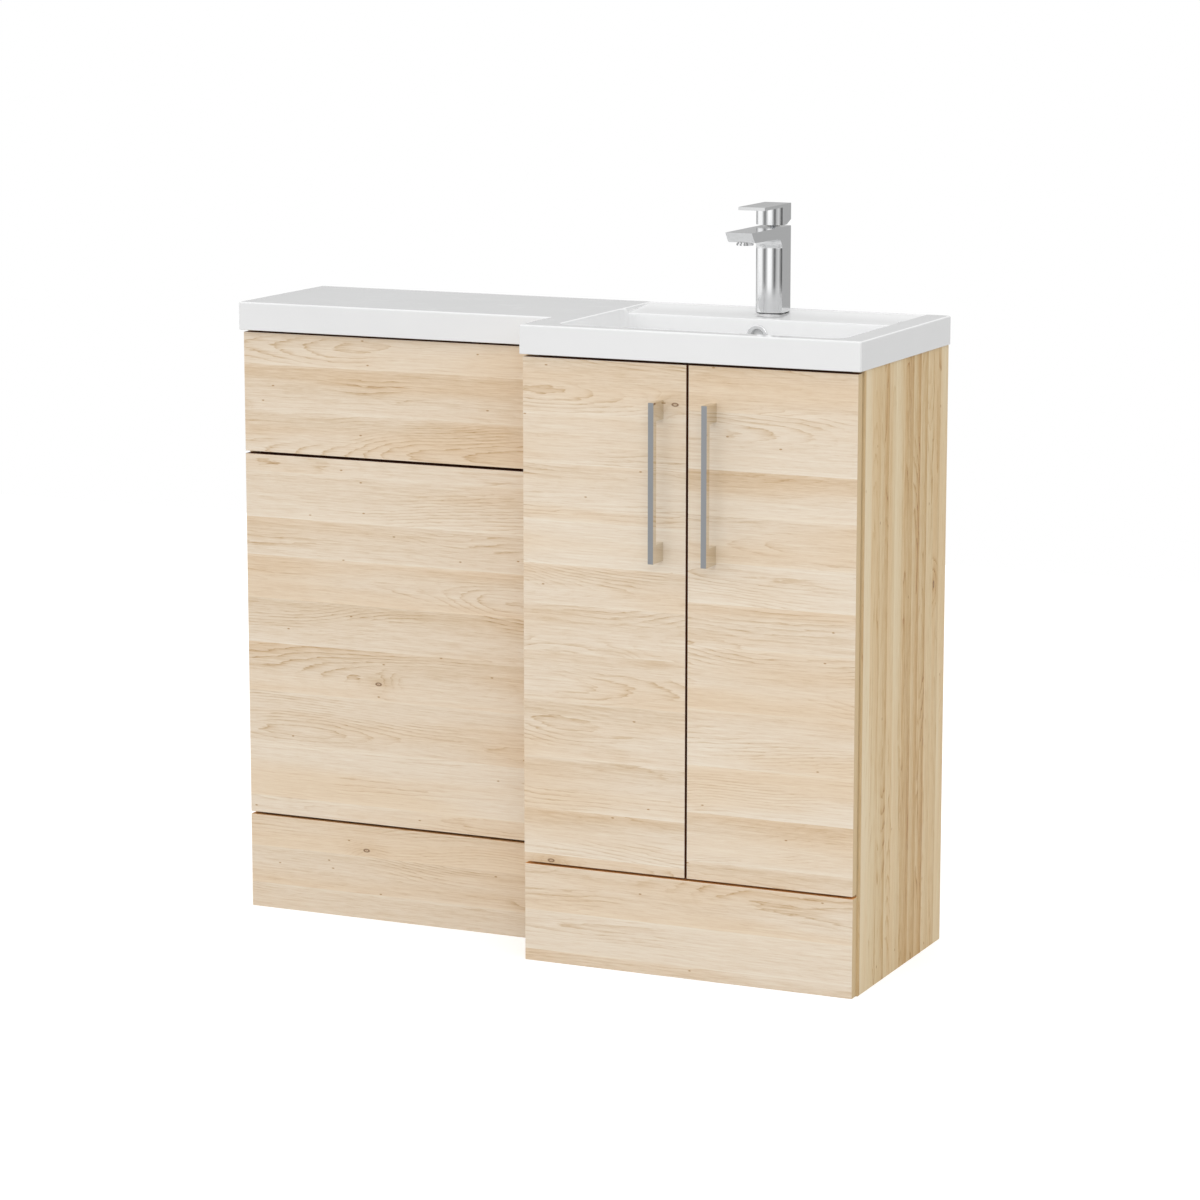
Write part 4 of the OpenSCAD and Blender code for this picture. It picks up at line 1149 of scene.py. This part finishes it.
@dataclass
class Mixer(Fittings):
    """The tap in chrome, with a hollow fillet under the spout that follows the column's front."""

    middle: float = 750.0
    half: float = 19.98
    front_y: float = -32.93
    front_r: float = 32.07
    fillet: float = 15.0
    root: Pair = (-55.0, 1009.0)
    slope: float = 2.0 / 105.5
    sunk: float = 2.0
    lap: float = 1.0

    def filler(self, node: str) -> bpy.types.Object | None:
        """Builds the fillet for the tap's body.

        Each section across the tap starts on the column's front arc and turns a quarter circle
        outwards and up to the spout's underside, which rises gently to the front. Its back and
        top close just inside the body's walls, clear of the bore for the cartridge.

        Args:
            node: the node whose copy takes the fillet in.

        Returns:
            The closed shape, or nothing for the other nodes.
        """
        if node != "tap_body":
            return None
        turn = np.linspace(0.0, np.pi / 2, 17)
        across = np.linspace(-self.half, self.half, 25)[:, None]
        start = self.front_y - np.sqrt(self.front_r**2 - across * across)
        root_y, root_z = self.root
        y = start - self.fillet * (1 - np.cos(turn))
        z = root_z + (root_y - y) * self.slope - self.fillet * (1 - np.sin(turn))
        back = start + self.sunk
        y = np.hstack([y, y[:, -1:], back, back])
        z = np.hstack([z, z[:, -1:] + self.lap, np.full_like(back, root_z + self.lap), z[:, :1]])
        points = np.stack([np.broadcast_to(self.middle + across, y.shape), y, z], -1)
        number = np.arange(y.size).reshape(y.shape)
        faces = [strip(a, b) for a, b in zip(number, number[1:])] + [number[:1], number[-1:]]
        return surface("spout_fillet", points.reshape(-1, 3), faces)


# ---------------------------------------------------------------- cast top


Patch = tuple[float, float, float, float]


class Gathered:
    """The points and faces of one surface, gathered block by block."""

    def __init__(self) -> None:
        """Starts with none."""
        self.blocks: list[np.ndarray] = []
        self.faces: list[np.ndarray] = []
        self.count = 0

    def add(self, points: np.ndarray) -> np.ndarray:
        """Adds points.

        Args:
            points: places as rows of x, y, z.

        Returns:
            Their numbers, in order.
        """
        self.blocks.append(points)
        self.count += len(points)
        return np.arange(self.count - len(points), self.count)

    def chain(
        self, last: np.ndarray, rings: Iterable[np.ndarray], over: bool = False
    ) -> np.ndarray:
        """Joins a ring of points to new rings, one after the other.

        Args:
            last: the point numbers of the ring that the chain starts from.
            rings: the new rings' points, as many in each as in the first.
            over: whether the faces are turned over.

        Returns:
            The point numbers of the last ring.
        """
        for points in rings:
            ring = self.add(points)
            quads = strip(last, ring)
            self.faces.append(quads[:, ::-1] if over else quads)
            last = ring
        return last


@dataclass
class Plan:
    """A grid seen from above: its lines, its points' places, and their numbers on top."""

    xs: np.ndarray
    ys: np.ndarray

    def __post_init__(self) -> None:
        """Works out the points' places and numbers."""
        self.x, self.y = np.meshgrid(self.xs, self.ys, indexing="ij")
        self.number = np.arange(self.x.size).reshape(self.x.shape)
        self.places = np.stack([self.x, self.y], -1).reshape(-1, 2)

    def at(self, x: float, y: float) -> tuple[int, int]:
        """The numbers of the grid's lines nearest to a place."""
        return int(np.argmin(np.abs(self.xs - x))), int(np.argmin(np.abs(self.ys - y)))

    def around(self, patch: Patch) -> np.ndarray:
        """The point numbers once round a patch.

        Args:
            patch: the patch's lowest and highest x, and its lowest and highest y.

        Returns:
            The numbers, in order.
        """
        number = self.number
        (i0, j0), (i1, j1) = self.at(patch[0], patch[2]), self.at(patch[1], patch[3])
        runs = (number[i0:i1, j0], number[i1, j0:j1], number[i1:i0:-1, j1], number[i0, j1:j0:-1])
        return np.concatenate(runs)

    def cells_in(self, patch: Patch) -> np.ndarray:
        """Which cells have their middle in a patch, as a grid of true and false.

        Args:
            patch: the patch's lowest and highest x, and its lowest and highest y.

        Returns:
            True for each cell inside.
        """
        middle_x, middle_y = (self.xs[:-1] + self.xs[1:]) / 2, (self.ys[:-1] + self.ys[1:]) / 2
        x, y = np.meshgrid(middle_x, middle_y, indexing="ij")
        return (x > patch[0]) & (x < patch[1]) & (y > patch[2]) & (y < patch[3])


@dataclass
class CastTop:
    """The L-shaped cast top: its slab, its bowl, its sunken tap deck and the shell below."""

    left: float = -1.0
    right: float = 1003.0
    step: float = 499.0
    front: float = -355.0
    short_front: float = -254.0
    top: float = 905.0
    under: float = 864.0
    bowl_left: float = 544.0
    bowl_right: float = 966.5
    bowl_front: float = -330.0
    bowl_back: float = -98.0
    floor: float = 800.0
    draft: float = 4.5
    rake: float = 30.86
    corner: float = 18.0
    floor_round: float = 25.0
    wall: float = 9.0
    lip: float = 2.6
    edge: float = 2.5
    edge_under: float = 1.0
    deck: float = 902.5
    deck_round: float = 10.0
    deck_side_round: float = 1.2
    rim_back: float = -14.0
    landing: float = -68.0
    fall_end: float = -101.0
    fall_height: float = 899.6
    middle: float = 750.0
    tap_y: float = -45.0
    tap_hole: float = 17.5
    tap_patch: float = 19.0
    waste_y: float = -186.76
    waste_seat: float = 31.8
    waste_hole: float = 21.2
    waste_patch: float = 36.0
    seat_z: float = 798.0
    overflow_z: float = 875.0
    overflow_hole: float = 11.3
    overflow_deep: float = 8.6
    overflow_patch: float = 14.0
    overflow_front: float = -101.5
    overflow_back: float = -99.25
    corner_steps: int = 6
    crease: float = 50.0
    halvings: int = 34
    clear_below: float = 100.0

    def hollow(self, x: np.ndarray, y: np.ndarray, z: np.ndarray, grow: float = 0.0) -> np.ndarray:
        """Signed distance of the bowl's hollow, minus inside.

        The hollow is what lies between four leaning walls and over the floor. Walls meet each
        other, and the floor, in rounded corners. Grown by the wall's thickness it is the outside
        of the shell.

        Args:
            x, y, z: places in millimetres.
            grow: how far the walls and the floor are moved outwards.

        Returns:
            The distances, in the places' shape.
        """
        drop = self.top - z
        lean, rake = math.radians(self.draft), math.radians(self.rake)
        left = self.bowl_left - grow + drop * math.tan(lean) - x
        right = x - (self.bowl_right + grow - drop * math.tan(lean))
        side = np.maximum(left, right) * math.cos(lean)
        back = (y - (self.bowl_back + grow - drop * math.tan(lean))) * math.cos(lean)
        front = (self.bowl_front - grow + drop * math.tan(rake) - y) * math.cos(rake)
        walls = overlap(side, np.maximum(front, back), self.corner + grow)
        return overlap(walls, self.floor - grow - z, self.floor_round + grow)

    def sunken_deck(self, x: np.ndarray, y: np.ndarray, z: np.ndarray) -> np.ndarray:
        """Signed distance of the shallow hollow over the tap deck.

        From the back rim it dishes down to a landing, as the square of the distance from the
        landing, and then it falls evenly to the bowl.

        Args:
            x, y, z: places in millimetres.

        Returns:
            The distances, in the places' shape.
        """
        share = np.maximum(y - self.landing, 0.0) / (self.rim_back - self.landing)
        dish = self.deck + (self.top - self.deck) * share**2
        slope = (self.deck - self.fall_height) / (self.landing - self.fall_end)
        fall = self.deck + (y - self.landing) * slope - z
        hollow = -overlap(z - dish, -fall, self.deck_round)
        side = np.maximum(self.bowl_left - x, x - self.bowl_right)
        return np.maximum(overlap(side, hollow, self.deck_side_round), self.fall_end - y)

    def upper(self, x: np.ndarray, y: np.ndarray, z: np.ndarray) -> np.ndarray:
        """Signed distance of the material seen from above.

        It is what lies under the top plane and outside both hollows. Where these meet, the lip is
        round: the length of the three distances plus the lip's radius, less the radius.

        Args:
            x, y, z: places in millimetres.

        Returns:
            The distances, in the places' shape.
        """
        three = (z - self.top, -self.hollow(x, y, z), -self.sunken_deck(x, y, z))
        rounds = [np.maximum(self.lip + d, 0.0) for d in three]
        plain = np.maximum(np.maximum(three[0], three[1]), three[2])
        return np.minimum(-self.lip, plain) + np.sqrt(sum(d * d for d in rounds))

    def lower(self, x: np.ndarray, y: np.ndarray, z: np.ndarray) -> np.ndarray:
        """Signed distance of the material over the slab's underside or inside the grown bowl."""
        return np.minimum(self.under - z, self.hollow(x, y, z, self.wall))

    def height(
        self, shape: Distance, plan: Plan, inside: float, outside: float
    ) -> np.ndarray:
        """Where an upright line through each point crosses a shape's surface, by halving.

        Args:
            shape: the signed distance, a function of x, y and z.
            plan: the grid's points.
            inside: a height that lies in the material everywhere.
            outside: a height that lies clear of it everywhere.

        Returns:
            The points in space, as rows.
        """
        x, y = plan.x, plan.y
        solid, clear = np.full(x.shape, inside), np.full(x.shape, outside)
        for _ in range(self.halvings):
            middle = (solid + clear) / 2
            filled = shape(x, y, middle) < 0
            solid, clear = np.where(filled, middle, solid), np.where(filled, clear, middle)
        return np.stack([x, y, solid], -1).reshape(-1, 3)

    def plan(self) -> Plan:
        """Draws the grid, with its lines close together at the walls, lips and corners.

        Returns:
            The grid.
        """
        m, e = self.middle, self.edge
        r, s, t = self.waste_patch, self.tap_patch, self.overflow_patch
        xs = spread(
            self.left + e,
            (495.0, 40.0), (self.step + e, 6.5), (535.5, 8.0), (541.0, 0.8), (546.5, 0.35),
            (572.0, 0.85), (592.0, 2.5), (m - r, 12.0), (m - s, 4.25), (m - t, 2.5),
            (m + t, 2.0), (m + s, 2.5), (m + r, 4.25), (918.5, 12.0), (938.5, 2.5),
            (964.0, 0.85), (969.5, 0.35), (975.0, 0.8), (self.right - e, 8.0),
        )  # fmt: skip
        short, waste, tap = self.short_front, self.waste_y, self.tap_y
        ys = spread(
            self.front + e,
            (-333.0, 6.5), (-327.0, 0.5), (-262.0, 1.0), (short - 0.5, 1.5), (short + e, 3.0),
            (-236.0, 2.0), (waste - r, 4.0), (waste + r, 4.5), (-135.0, 4.0), (-108.0, 1.5),
            (self.overflow_front, 0.6), (self.overflow_back, 0.25), (-96.0, 0.35), (-91.0, 0.6),
            (-76.0, 4.0), (tap - s, 2.0), (tap + s, 4.75), (-22.0, 2.0), (-11.0, 0.9),
            (-e, 4.25),
        )  # fmt: skip
        return Plan(xs, ys)

    def patch(self, y: float, half: float) -> Patch:
        """The square patch of the grid round a hole on the middle line."""
        return (self.middle - half, self.middle + half, y - half, y + half)

    def leaning(self) -> tuple[np.ndarray, np.ndarray, np.ndarray]:
        """The overflow's place on the leaning back wall.

        Returns:
            Its centre, the direction up the wall and the direction into the wall.
        """
        lean = math.radians(self.draft)
        y = self.bowl_back - (self.top - self.overflow_z) * math.tan(lean)
        rise = np.array([0.0, math.sin(lean), math.cos(lean)])
        inwards = np.array([0.0, math.cos(lean), -math.sin(lean)])
        return np.array([self.middle, y, self.overflow_z]), rise, inwards

    def drill(
        self, mesh: Gathered, plan: Plan, patch: Patch, rings: Sequence[Pair]
    ) -> None:
        """Drills a stepped hole from a patch on top to the same patch underneath.

        The hole is a chain of circles. A circle's points lie at its radius from the middle, in the
        directions in which the patch's points lie.

        Args:
            mesh: the surface being gathered.
            plan: the grid.
            patch: the patch.
            rings: radius and height of each circle, from the top.
        """
        centre = np.array([(patch[0] + patch[1]) / 2, (patch[2] + patch[3]) / 2])
        rim = plan.around(patch)
        turn = np.arctan2(*(plan.places[rim] - centre).T[::-1])
        spoke = np.stack([np.cos(turn), np.sin(turn)], -1)
        circles = [
            np.column_stack([centre + radius * spoke, np.full(len(turn), z)])
            for radius, z in rings
        ]
        last = mesh.chain(rim, circles)
        mesh.faces.append(strip(last, rim + plan.x.size))

    def sink(self, mesh: Gathered, rim: np.ndarray) -> None:
        """Sinks the overflow's blind bore square to the back wall, ending in a point.

        Args:
            mesh: the surface being gathered.
            rim: the point numbers round its patch.
        """
        centre, rise, inwards = self.leaning()
        offset = mesh.blocks[0][rim] - centre
        turn = np.arctan2(offset @ rise, offset[:, 0])
        level = np.array([1.0, 0.0, 0.0])
        spoke = np.cos(turn)[:, None] * level + np.sin(turn)[:, None] * rise
        hole, deep = self.overflow_hole, self.overflow_deep
        steps = ((hole, 0.0), (hole, deep), (0.0, deep))
        mesh.chain(rim, [centre + radius * spoke + down * inwards for radius, down in steps])

    def skirt(self, mesh: Gathered, plan: Plan) -> None:
        """Joins the upper surface to the lower one round the outline, with rounded edges.

        Each ring leaves the grid's edge along the outline's normal by the edge's radius times the
        sine of an angle, and goes down by the radius times one less the cosine. At the outer
        corners the normal swings from one side to the next; at the inner one it is their sum.

        Args:
            mesh: the surface being gathered.
            plan: the grid.
        """
        number, steps = plan.number, self.corner_steps
        i, j = plan.at(self.step + self.edge, self.short_front + self.edge)
        to_left, to_right, to_front, to_back = (-1.0, 0.0), (1.0, 0.0), (0.0, -1.0), (0.0, 1.0)
        sides = [
            (number[i:, 0], to_front),
            (number[-1], to_right),
            (number[::-1, -1], to_back),
            (number[0, : j - 1 : -1], to_left),
            (number[: i + 1, j], to_front),
            (number[i, j::-1], to_left),
        ]
        swing = np.linspace(0.0, np.pi / 2, steps)
        loop, normal = [], []
        for k, (run, out) in enumerate(sides):
            if k == len(sides) - 1:
                loop.append(run[:1])
                normal.append(np.add(to_left, to_front)[None])
            else:
                before = np.cos(swing)[:, None] * sides[k - 1][1]
                normal.append(before + np.sin(swing)[:, None] * out)
                loop.append(np.full(steps, run[0]))
            loop.append(run[1:-1])
            normal.append(np.tile(out, (len(run) - 2, 1)))
        loop, normal = np.concatenate(loop), np.concatenate(normal)
        bend = swing[1:]
        down = self.top - self.edge * (1 - np.cos(bend))
        up = self.under + self.edge_under * (1 - np.cos(bend))
        out = self.edge * np.sin(bend)
        rings = [
            np.column_stack([plan.places[loop] + reach * normal, np.full(len(loop), z)])
            for reach, z in (*zip(out, down), *zip(out[::-1], up[::-1]))
        ]
        last = mesh.chain(loop, rings, over=True)
        mesh.faces.append(strip(last, loop + plan.x.size)[:, ::-1])

    def build(self) -> None:
        """Builds the top as one closed surface and finishes it.

        Two height fields on one grid are the upper and the lower surface, joined by the skirt
        round the outline and by the holes between patches left out of the grid.
        """
        plan, mesh = self.plan(), Gathered()
        low = self.floor - self.clear_below
        mesh.add(self.height(self.upper, plan, low, self.top + 1.0))
        mesh.add(self.height(self.lower, plan, self.under + 2.0, low))

        waste = self.patch(self.waste_y, self.waste_patch)
        tap = self.patch(self.tap_y, self.tap_patch)
        left, right = self.patch(0.0, self.overflow_patch)[:2]
        overflow = (left, right, self.overflow_front, self.overflow_back)
        notch = (-np.inf, self.step + self.edge, -np.inf, self.short_front + self.edge)
        gone = plan.cells_in(notch) | plan.cells_in(waste) | plan.cells_in(tap)
        n = plan.number
        cells = np.stack([n[:-1, :-1], n[1:, :-1], n[1:, 1:], n[:-1, 1:]], -1)
        mesh.faces.append(cells[~(gone | plan.cells_in(overflow))])
        mesh.faces.append(cells[~gone][:, ::-1] + plan.x.size)

        seat, hole = self.waste_seat, self.waste_hole
        steps = [(seat, self.floor), (seat, self.seat_z), (hole, self.seat_z)]
        self.drill(mesh, plan, waste, [*steps, (hole, self.floor - self.wall)])
        self.drill(mesh, plan, tap, [(self.tap_hole, self.deck), (self.tap_hole, self.under)])
        self.sink(mesh, plan.around(overflow))
        self.skirt(mesh, plan)

        obj = surface("basin_top_cast", np.concatenate(mesh.blocks), mesh.faces)
        smooth(obj, self.crease)
        settle(obj, "cast_white", GEL_COAT.material("cast_white_gel_coat"), "basin_top")


@dataclass
class OverflowRing:
    """The chrome ring on the bowl's back wall: a rounded flange and a tube into the hole."""

    top: CastTop
    bore: float = 9.5
    tube: float = 11.0
    length: float = 8.0
    flange: float = 15.4
    proud: float = 2.5
    gap: float = 0.05
    inner_round: float = 1.0
    outer_round: float = 1.5
    round_steps: int = 5
    crease: float = 60.0

    def build(self) -> None:
        """Turns the ring on the wall's leaning axis and finishes it."""
        centre, _, inwards = self.top.leaning()
        outline = rounded_outline(
            [
                (self.bore, -self.length, 0.0),
                (self.bore, self.proud, self.inner_round),
                (self.flange, self.proud, self.outer_round),
                (self.flange, self.gap, 0.0),
                (self.tube, self.gap, 0.0),
                (self.tube, -self.length, 0.0),
            ],
            steps=self.round_steps,
        )
        ring = turned("overflow_ring_turned", outline, centre, -inwards)
        smooth(ring, self.crease)
        settle(ring, "tap_chrome", CHROME.material("chrome_overflow"), "overflow_ring")


# ---------------------------------------------------------------- studio


@dataclass
class Studio:
    """A pale floor, a soft surround that is brightest high in front, a lamp and the camera.

    The strips are the surround's brightness near the horizon by bearing in degrees, nought in
    front and rising to the right. Its darker strips are what polished metal needs to look like
    metal. Above the horizon the surround is high_front round the bright bearing and high_back
    away from it, and overhead it is the same all round. Places and sizes here are in metres.
    """

    focal: float = 3965.13
    place: Triple = (2.3576, -5.0694, 1.5081)
    turn: float = 24.5045
    tip: float = -10.298
    picture_width: float = 1200.0
    film_width: float = 36.0
    clip: Pair = (0.1, 400.0)
    floor_half: float = 3.2
    floor_shade: float = 0.6
    floor_cloud: float = 0.03
    floor_glow: float = 0.55
    high_front: float = 1.34
    high_back: float = 1.0
    overhead: float = 0.87
    bright_bearing: float = -12.0
    bright_edge: Pair = (45.0, 125.0)
    horizon_edge: Pair = (7.0, 20.0)
    overhead_edge: Pair = (45.0, 80.0)
    lamp_place: Triple = (1.5, -3.6, 2.9)
    lamp_tip: float = 56.0
    lamp_turn: float = 22.0
    lamp_size: Pair = (2.4, 1.4)
    lamp_power: float = 14.0
    strips: tuple[Pair, ...] = (
        (-180, 0.5), (-135, 0.5), (-112, 0.3), (-100, 0.08), (-90, 0.6), (-78, 1.25),
        (-56, 1.2), (-43, 0.4), (-36, 0.2), (-28, 0.6), (-16, 1.35), (-2, 1.25),
        (8, 0.45), (16, 0.1), (25, 0.6), (36, 0.8), (44, 0.35), (51, 0.06),
        (58, 0.45), (70, 0.78), (112, 0.75), (150, 0.48), (180, 0.5),
    )  # fmt: skip

    def camera(self) -> None:
        """Sets the camera at the photograph's viewing angle, level in roll and with no shift."""
        data = bpy.data.cameras.new("viewpoint")
        data.sensor_width = self.film_width
        data.lens = self.focal * self.film_width / self.picture_width
        data.clip_start, data.clip_end = self.clip
        camera = bpy.data.objects.new("viewpoint", data)
        camera.location = self.place
        camera.rotation_euler = (math.radians(90 + self.tip), 0.0, math.radians(self.turn))
        bpy.context.scene.collection.objects.link(camera)
        bpy.context.scene.camera = camera

    def floor(self) -> None:
        """Lays the pale floor, whose glow is for the eye alone and lights nothing."""
        half = self.floor_half * MM
        corners = np.array([[-1, -1, 0], [1, -1, 0], [1, 1, 0], [-1, 1, 0]]) * half
        ground = surface("pale_floor", corners + CABINET_ORIGIN, [np.array([[0, 1, 2, 3]])])
        material, w, place, shader = new_material("pale_floor")
        shades = (self.floor_shade, self.floor_shade + self.floor_cloud)
        pale, paler = ((k, k, k, 1.0) for k in shades)
        w.feed(shader["Base Color"], w.blend(w.noise(place, 2.5, 4.0, 0.6), paler, pale))
        shader["Roughness"].default_value = 0.9
        shader["Specular IOR Level"].default_value = 0.1
        shader["Emission Color"].default_value = (1.0, 1.0, 1.0, 1.0)
        seen = w.add("ShaderNodeLightPath").outputs["Is Camera Ray"]
        w.feed(shader["Emission Strength"], w.times(seen, self.floor_glow))
        dress(ground, material)

    def surround(self) -> None:
        """Lights the scene from all round; the background itself is plain white."""
        world = bpy.data.worlds.new("soft_surround")
        world.use_nodes = True
        world.node_tree.nodes.clear()
        w = Wiring(world.node_tree)
        x, y, z = w.parts(w.add("ShaderNodeTexCoord").outputs["Generated"])
        bearing = w.math("DEGREES", w.math("ARCTAN2", x, w.times(y, -1.0)))
        climb = w.math("DEGREES", w.math("ARCSINE", z))
        stops = [((b + 180) / 360, (k, k, k, 1.0)) for b, k in self.strips]
        low = w.ramp(w.sloped(bearing, 1 / 360, 0.5), stops, "EASE")
        aside = w.math("ABSOLUTE", w.math("SUBTRACT", bearing, self.bright_bearing))
        high = w.ease(aside, *self.bright_edge, self.high_front, self.high_back)
        above = w.ease(climb, *self.overhead_edge)
        rest = w.times(high, w.math("SUBTRACT", 1.0, above))
        high = w.math("ADD", rest, w.times(above, self.overhead))
        light = w.blend(w.ease(climb, *self.horizon_edge), low, high)
        seen = w.add("ShaderNodeLightPath").outputs["Is Camera Ray"]
        colour = w.blend(seen, light, (1.0, 1.0, 1.0, 1.0))
        background = w.add("ShaderNodeBackground", {"Color": colour, "Strength": 1.0})
        w.add("ShaderNodeOutputWorld", {"Surface": background.outputs[0]})
        bpy.context.scene.world = world

    def softbox(self) -> None:
        """Hangs one large soft lamp high in front."""
        data = bpy.data.lights.new("front_softbox", "AREA")
        data.shape, data.energy = "RECTANGLE", self.lamp_power
        data.size, data.size_y = self.lamp_size
        lamp = bpy.data.objects.new("front_softbox", data)
        lamp.location = self.lamp_place
        lamp.rotation_euler = (math.radians(self.lamp_tip), 0.0, math.radians(self.lamp_turn))
        bpy.context.scene.collection.objects.link(lamp)

    def build(self) -> None:
        """Sets up the camera, floor and lights."""
        self.camera()
        self.floor()
        self.surround()
        self.softbox()
        bpy.context.scene.view_settings.view_transform = "Standard"


# ---------------------------------------------------------------- the whole unit


FORWARD, RIGHT, LEFT, UP, DOWN = (1, -1), (0, 1), (0, -1), (2, 1), (2, -1)
# Painted shade: the fronts' faces that look up and down into the gaps are painted dark brown.
PALE_OAK = OakFoil(seed=0.0, shadowed=(UP, DOWN))
WARM_OAK = OakFoil(
    seed=0.0,
    stave=0.03,
    figure=0.9,
    strip=0.85,
    pale=srgb(236, 217, 182),
    body=srgb(226, 202, 160),
    deep=srgb(205, 170, 116),
    late=srgb(164, 112, 58),
    band=srgb(222, 196, 152),
)
PANELS = OakBoards(
    "oak_front",
    PALE_OAK,
    {
        "wc_access_panel": (1.3, Grain.ACROSS_FRONT),
        "wc_middle_panel": (2.9, Grain.ACROSS_FRONT),
    },
)
# Painted shade: the plinths' faces that look up and down, into the gaps under the doors, are
# painted caramel brown in place of the half-lit gap.
PLINTHS = OakBoards(
    "oak_front",
    replace(PALE_OAK, seam_and_gap_shade=srgb(232, 172, 104)),
    {
        "wc_plinth": (5.2, Grain.ACROSS_FRONT),
        "vanity_plinth": (13.8, Grain.ACROSS_FRONT),
    },
)
# Painted shade: each door's top face and its edge at the middle gap are painted dark brown.
LEFT_DOOR = OakBoards(
    "oak_front",
    replace(PALE_OAK, shadowed=(UP, RIGHT)),
    {"left_door": (7.7, Grain.ACROSS_FRONT)},
)
RIGHT_DOOR = OakBoards(
    "oak_front",
    replace(PALE_OAK, shadowed=(UP, LEFT)),
    {"right_door": (11.4, Grain.ACROSS_FRONT)},
)
CARCASSES = OakBoards(
    "oak_board",
    WARM_OAK,
    {
        "wc_side_left": (21.1, Grain.UP_SIDE),
        "wc_side_right": (22.6, Grain.UP_SIDE),
        "vanity_side_left": (24.9, Grain.UP_SIDE),
        "vanity_side_right": (26.3, Grain.UP_SIDE),
        "wc_back_rail": (32.7, Grain.ACROSS_FRONT),
        "vanity_back_rail_upper": (37.6, Grain.ACROSS_FRONT),
        "vanity_back_rail_lower": (38.8, Grain.ACROSS_FRONT),
        "vanity_shelf": (39.3, Grain.ALONG_LEVEL),
    },
    edge=0.4,
)
# Painted shade: the rails' front faces, seen through the gaps between the fronts, are painted dark
# brown.
RAILS = OakBoards(
    "oak_board",
    replace(WARM_OAK, shadowed=(FORWARD,)),
    {
        "wc_top_rail": (31.2, Grain.ALONG_LEVEL),
        "wc_middle_rail": (33.5, Grain.ACROSS_FRONT),
        "wc_lower_rail": (34.1, Grain.ACROSS_FRONT),
        "vanity_base": (35.9, Grain.ALONG_LEVEL),
        "vanity_front_rail": (36.4, Grain.ACROSS_FRONT),
    },
    edge=0.4,
)
HANDLES = Fittings(
    HANDLE, "satin_handle", "handle_metal", {"left_handle": 0.7, "right_handle": 0.7}
)
TAP = Mixer(
    CHROME,
    "chrome_tap",
    "tap_chrome",
    {"tap_body": 0.5, "tap_lever": 0.5, "tap_aerator": 0.35, "waste_plug": 0.4},
)
HIDDEN = (
    Hardware(CHROME, "chrome_waste", ("waste_body",)),
    Hardware(BEECH, "beech_dowel_wood", ("carcass_dowels",)),
    Hardware(
        ZINC,
        "zinc_plated_steel",
        (
            "carcass_screws", "joining_bolts", "left_handle_screws", "right_handle_screws",
            "shelf_pins", "tap_clamp_washer", "tilt_pin", "lever_stem", "lever_grub_screw",
        ),
    ),
    Hardware(
        NICKEL,
        "nickel_plated_steel",
        ("left_hinge_cups", "right_hinge_cups", "hinge_arms", "hinge_plates"),
    ),
    Hardware(PLATED_BRASS, "nickel_plated_brass", ("cartridge_nut",)),
    Hardware(
        WHITE_PLASTIC,
        "moulded_white_plastic",
        (
            "access_clip_studs", "access_clip_sockets", "panel_brackets", "door_bumpers",
            "overflow_duct", "trap_body", "trap_nuts", "trap_cup", "trap_outlet_pipe",
            "cartridge_housing", "swivel_carrier",
        ),
    ),
    Hardware(CERAMIC, "fired_ceramic", ("ceramic_discs",)),
    Hardware(BRASS, "turned_brass", ("waste_backnut", "tap_stud", "tap_stud_nut")),
    Hardware(RUBBER, "black_rubber", ("waste_seals", "tap_seals")),
)  # fmt: skip


def main() -> None:
    """Builds the studio and every part of the unit."""
    logging.basicConfig(level=logging.INFO, format="%(name)s: %(message)s")
    top = CastTop()
    boards = (PANELS, PLINTHS, LEFT_DOOR, RIGHT_DOOR, CARCASSES, RAILS)
    for part in (Studio(), *boards, HANDLES, TAP, *HIDDEN, top, OverflowRing(top)):
        part.build()


if __name__ == "__main__":
    main()
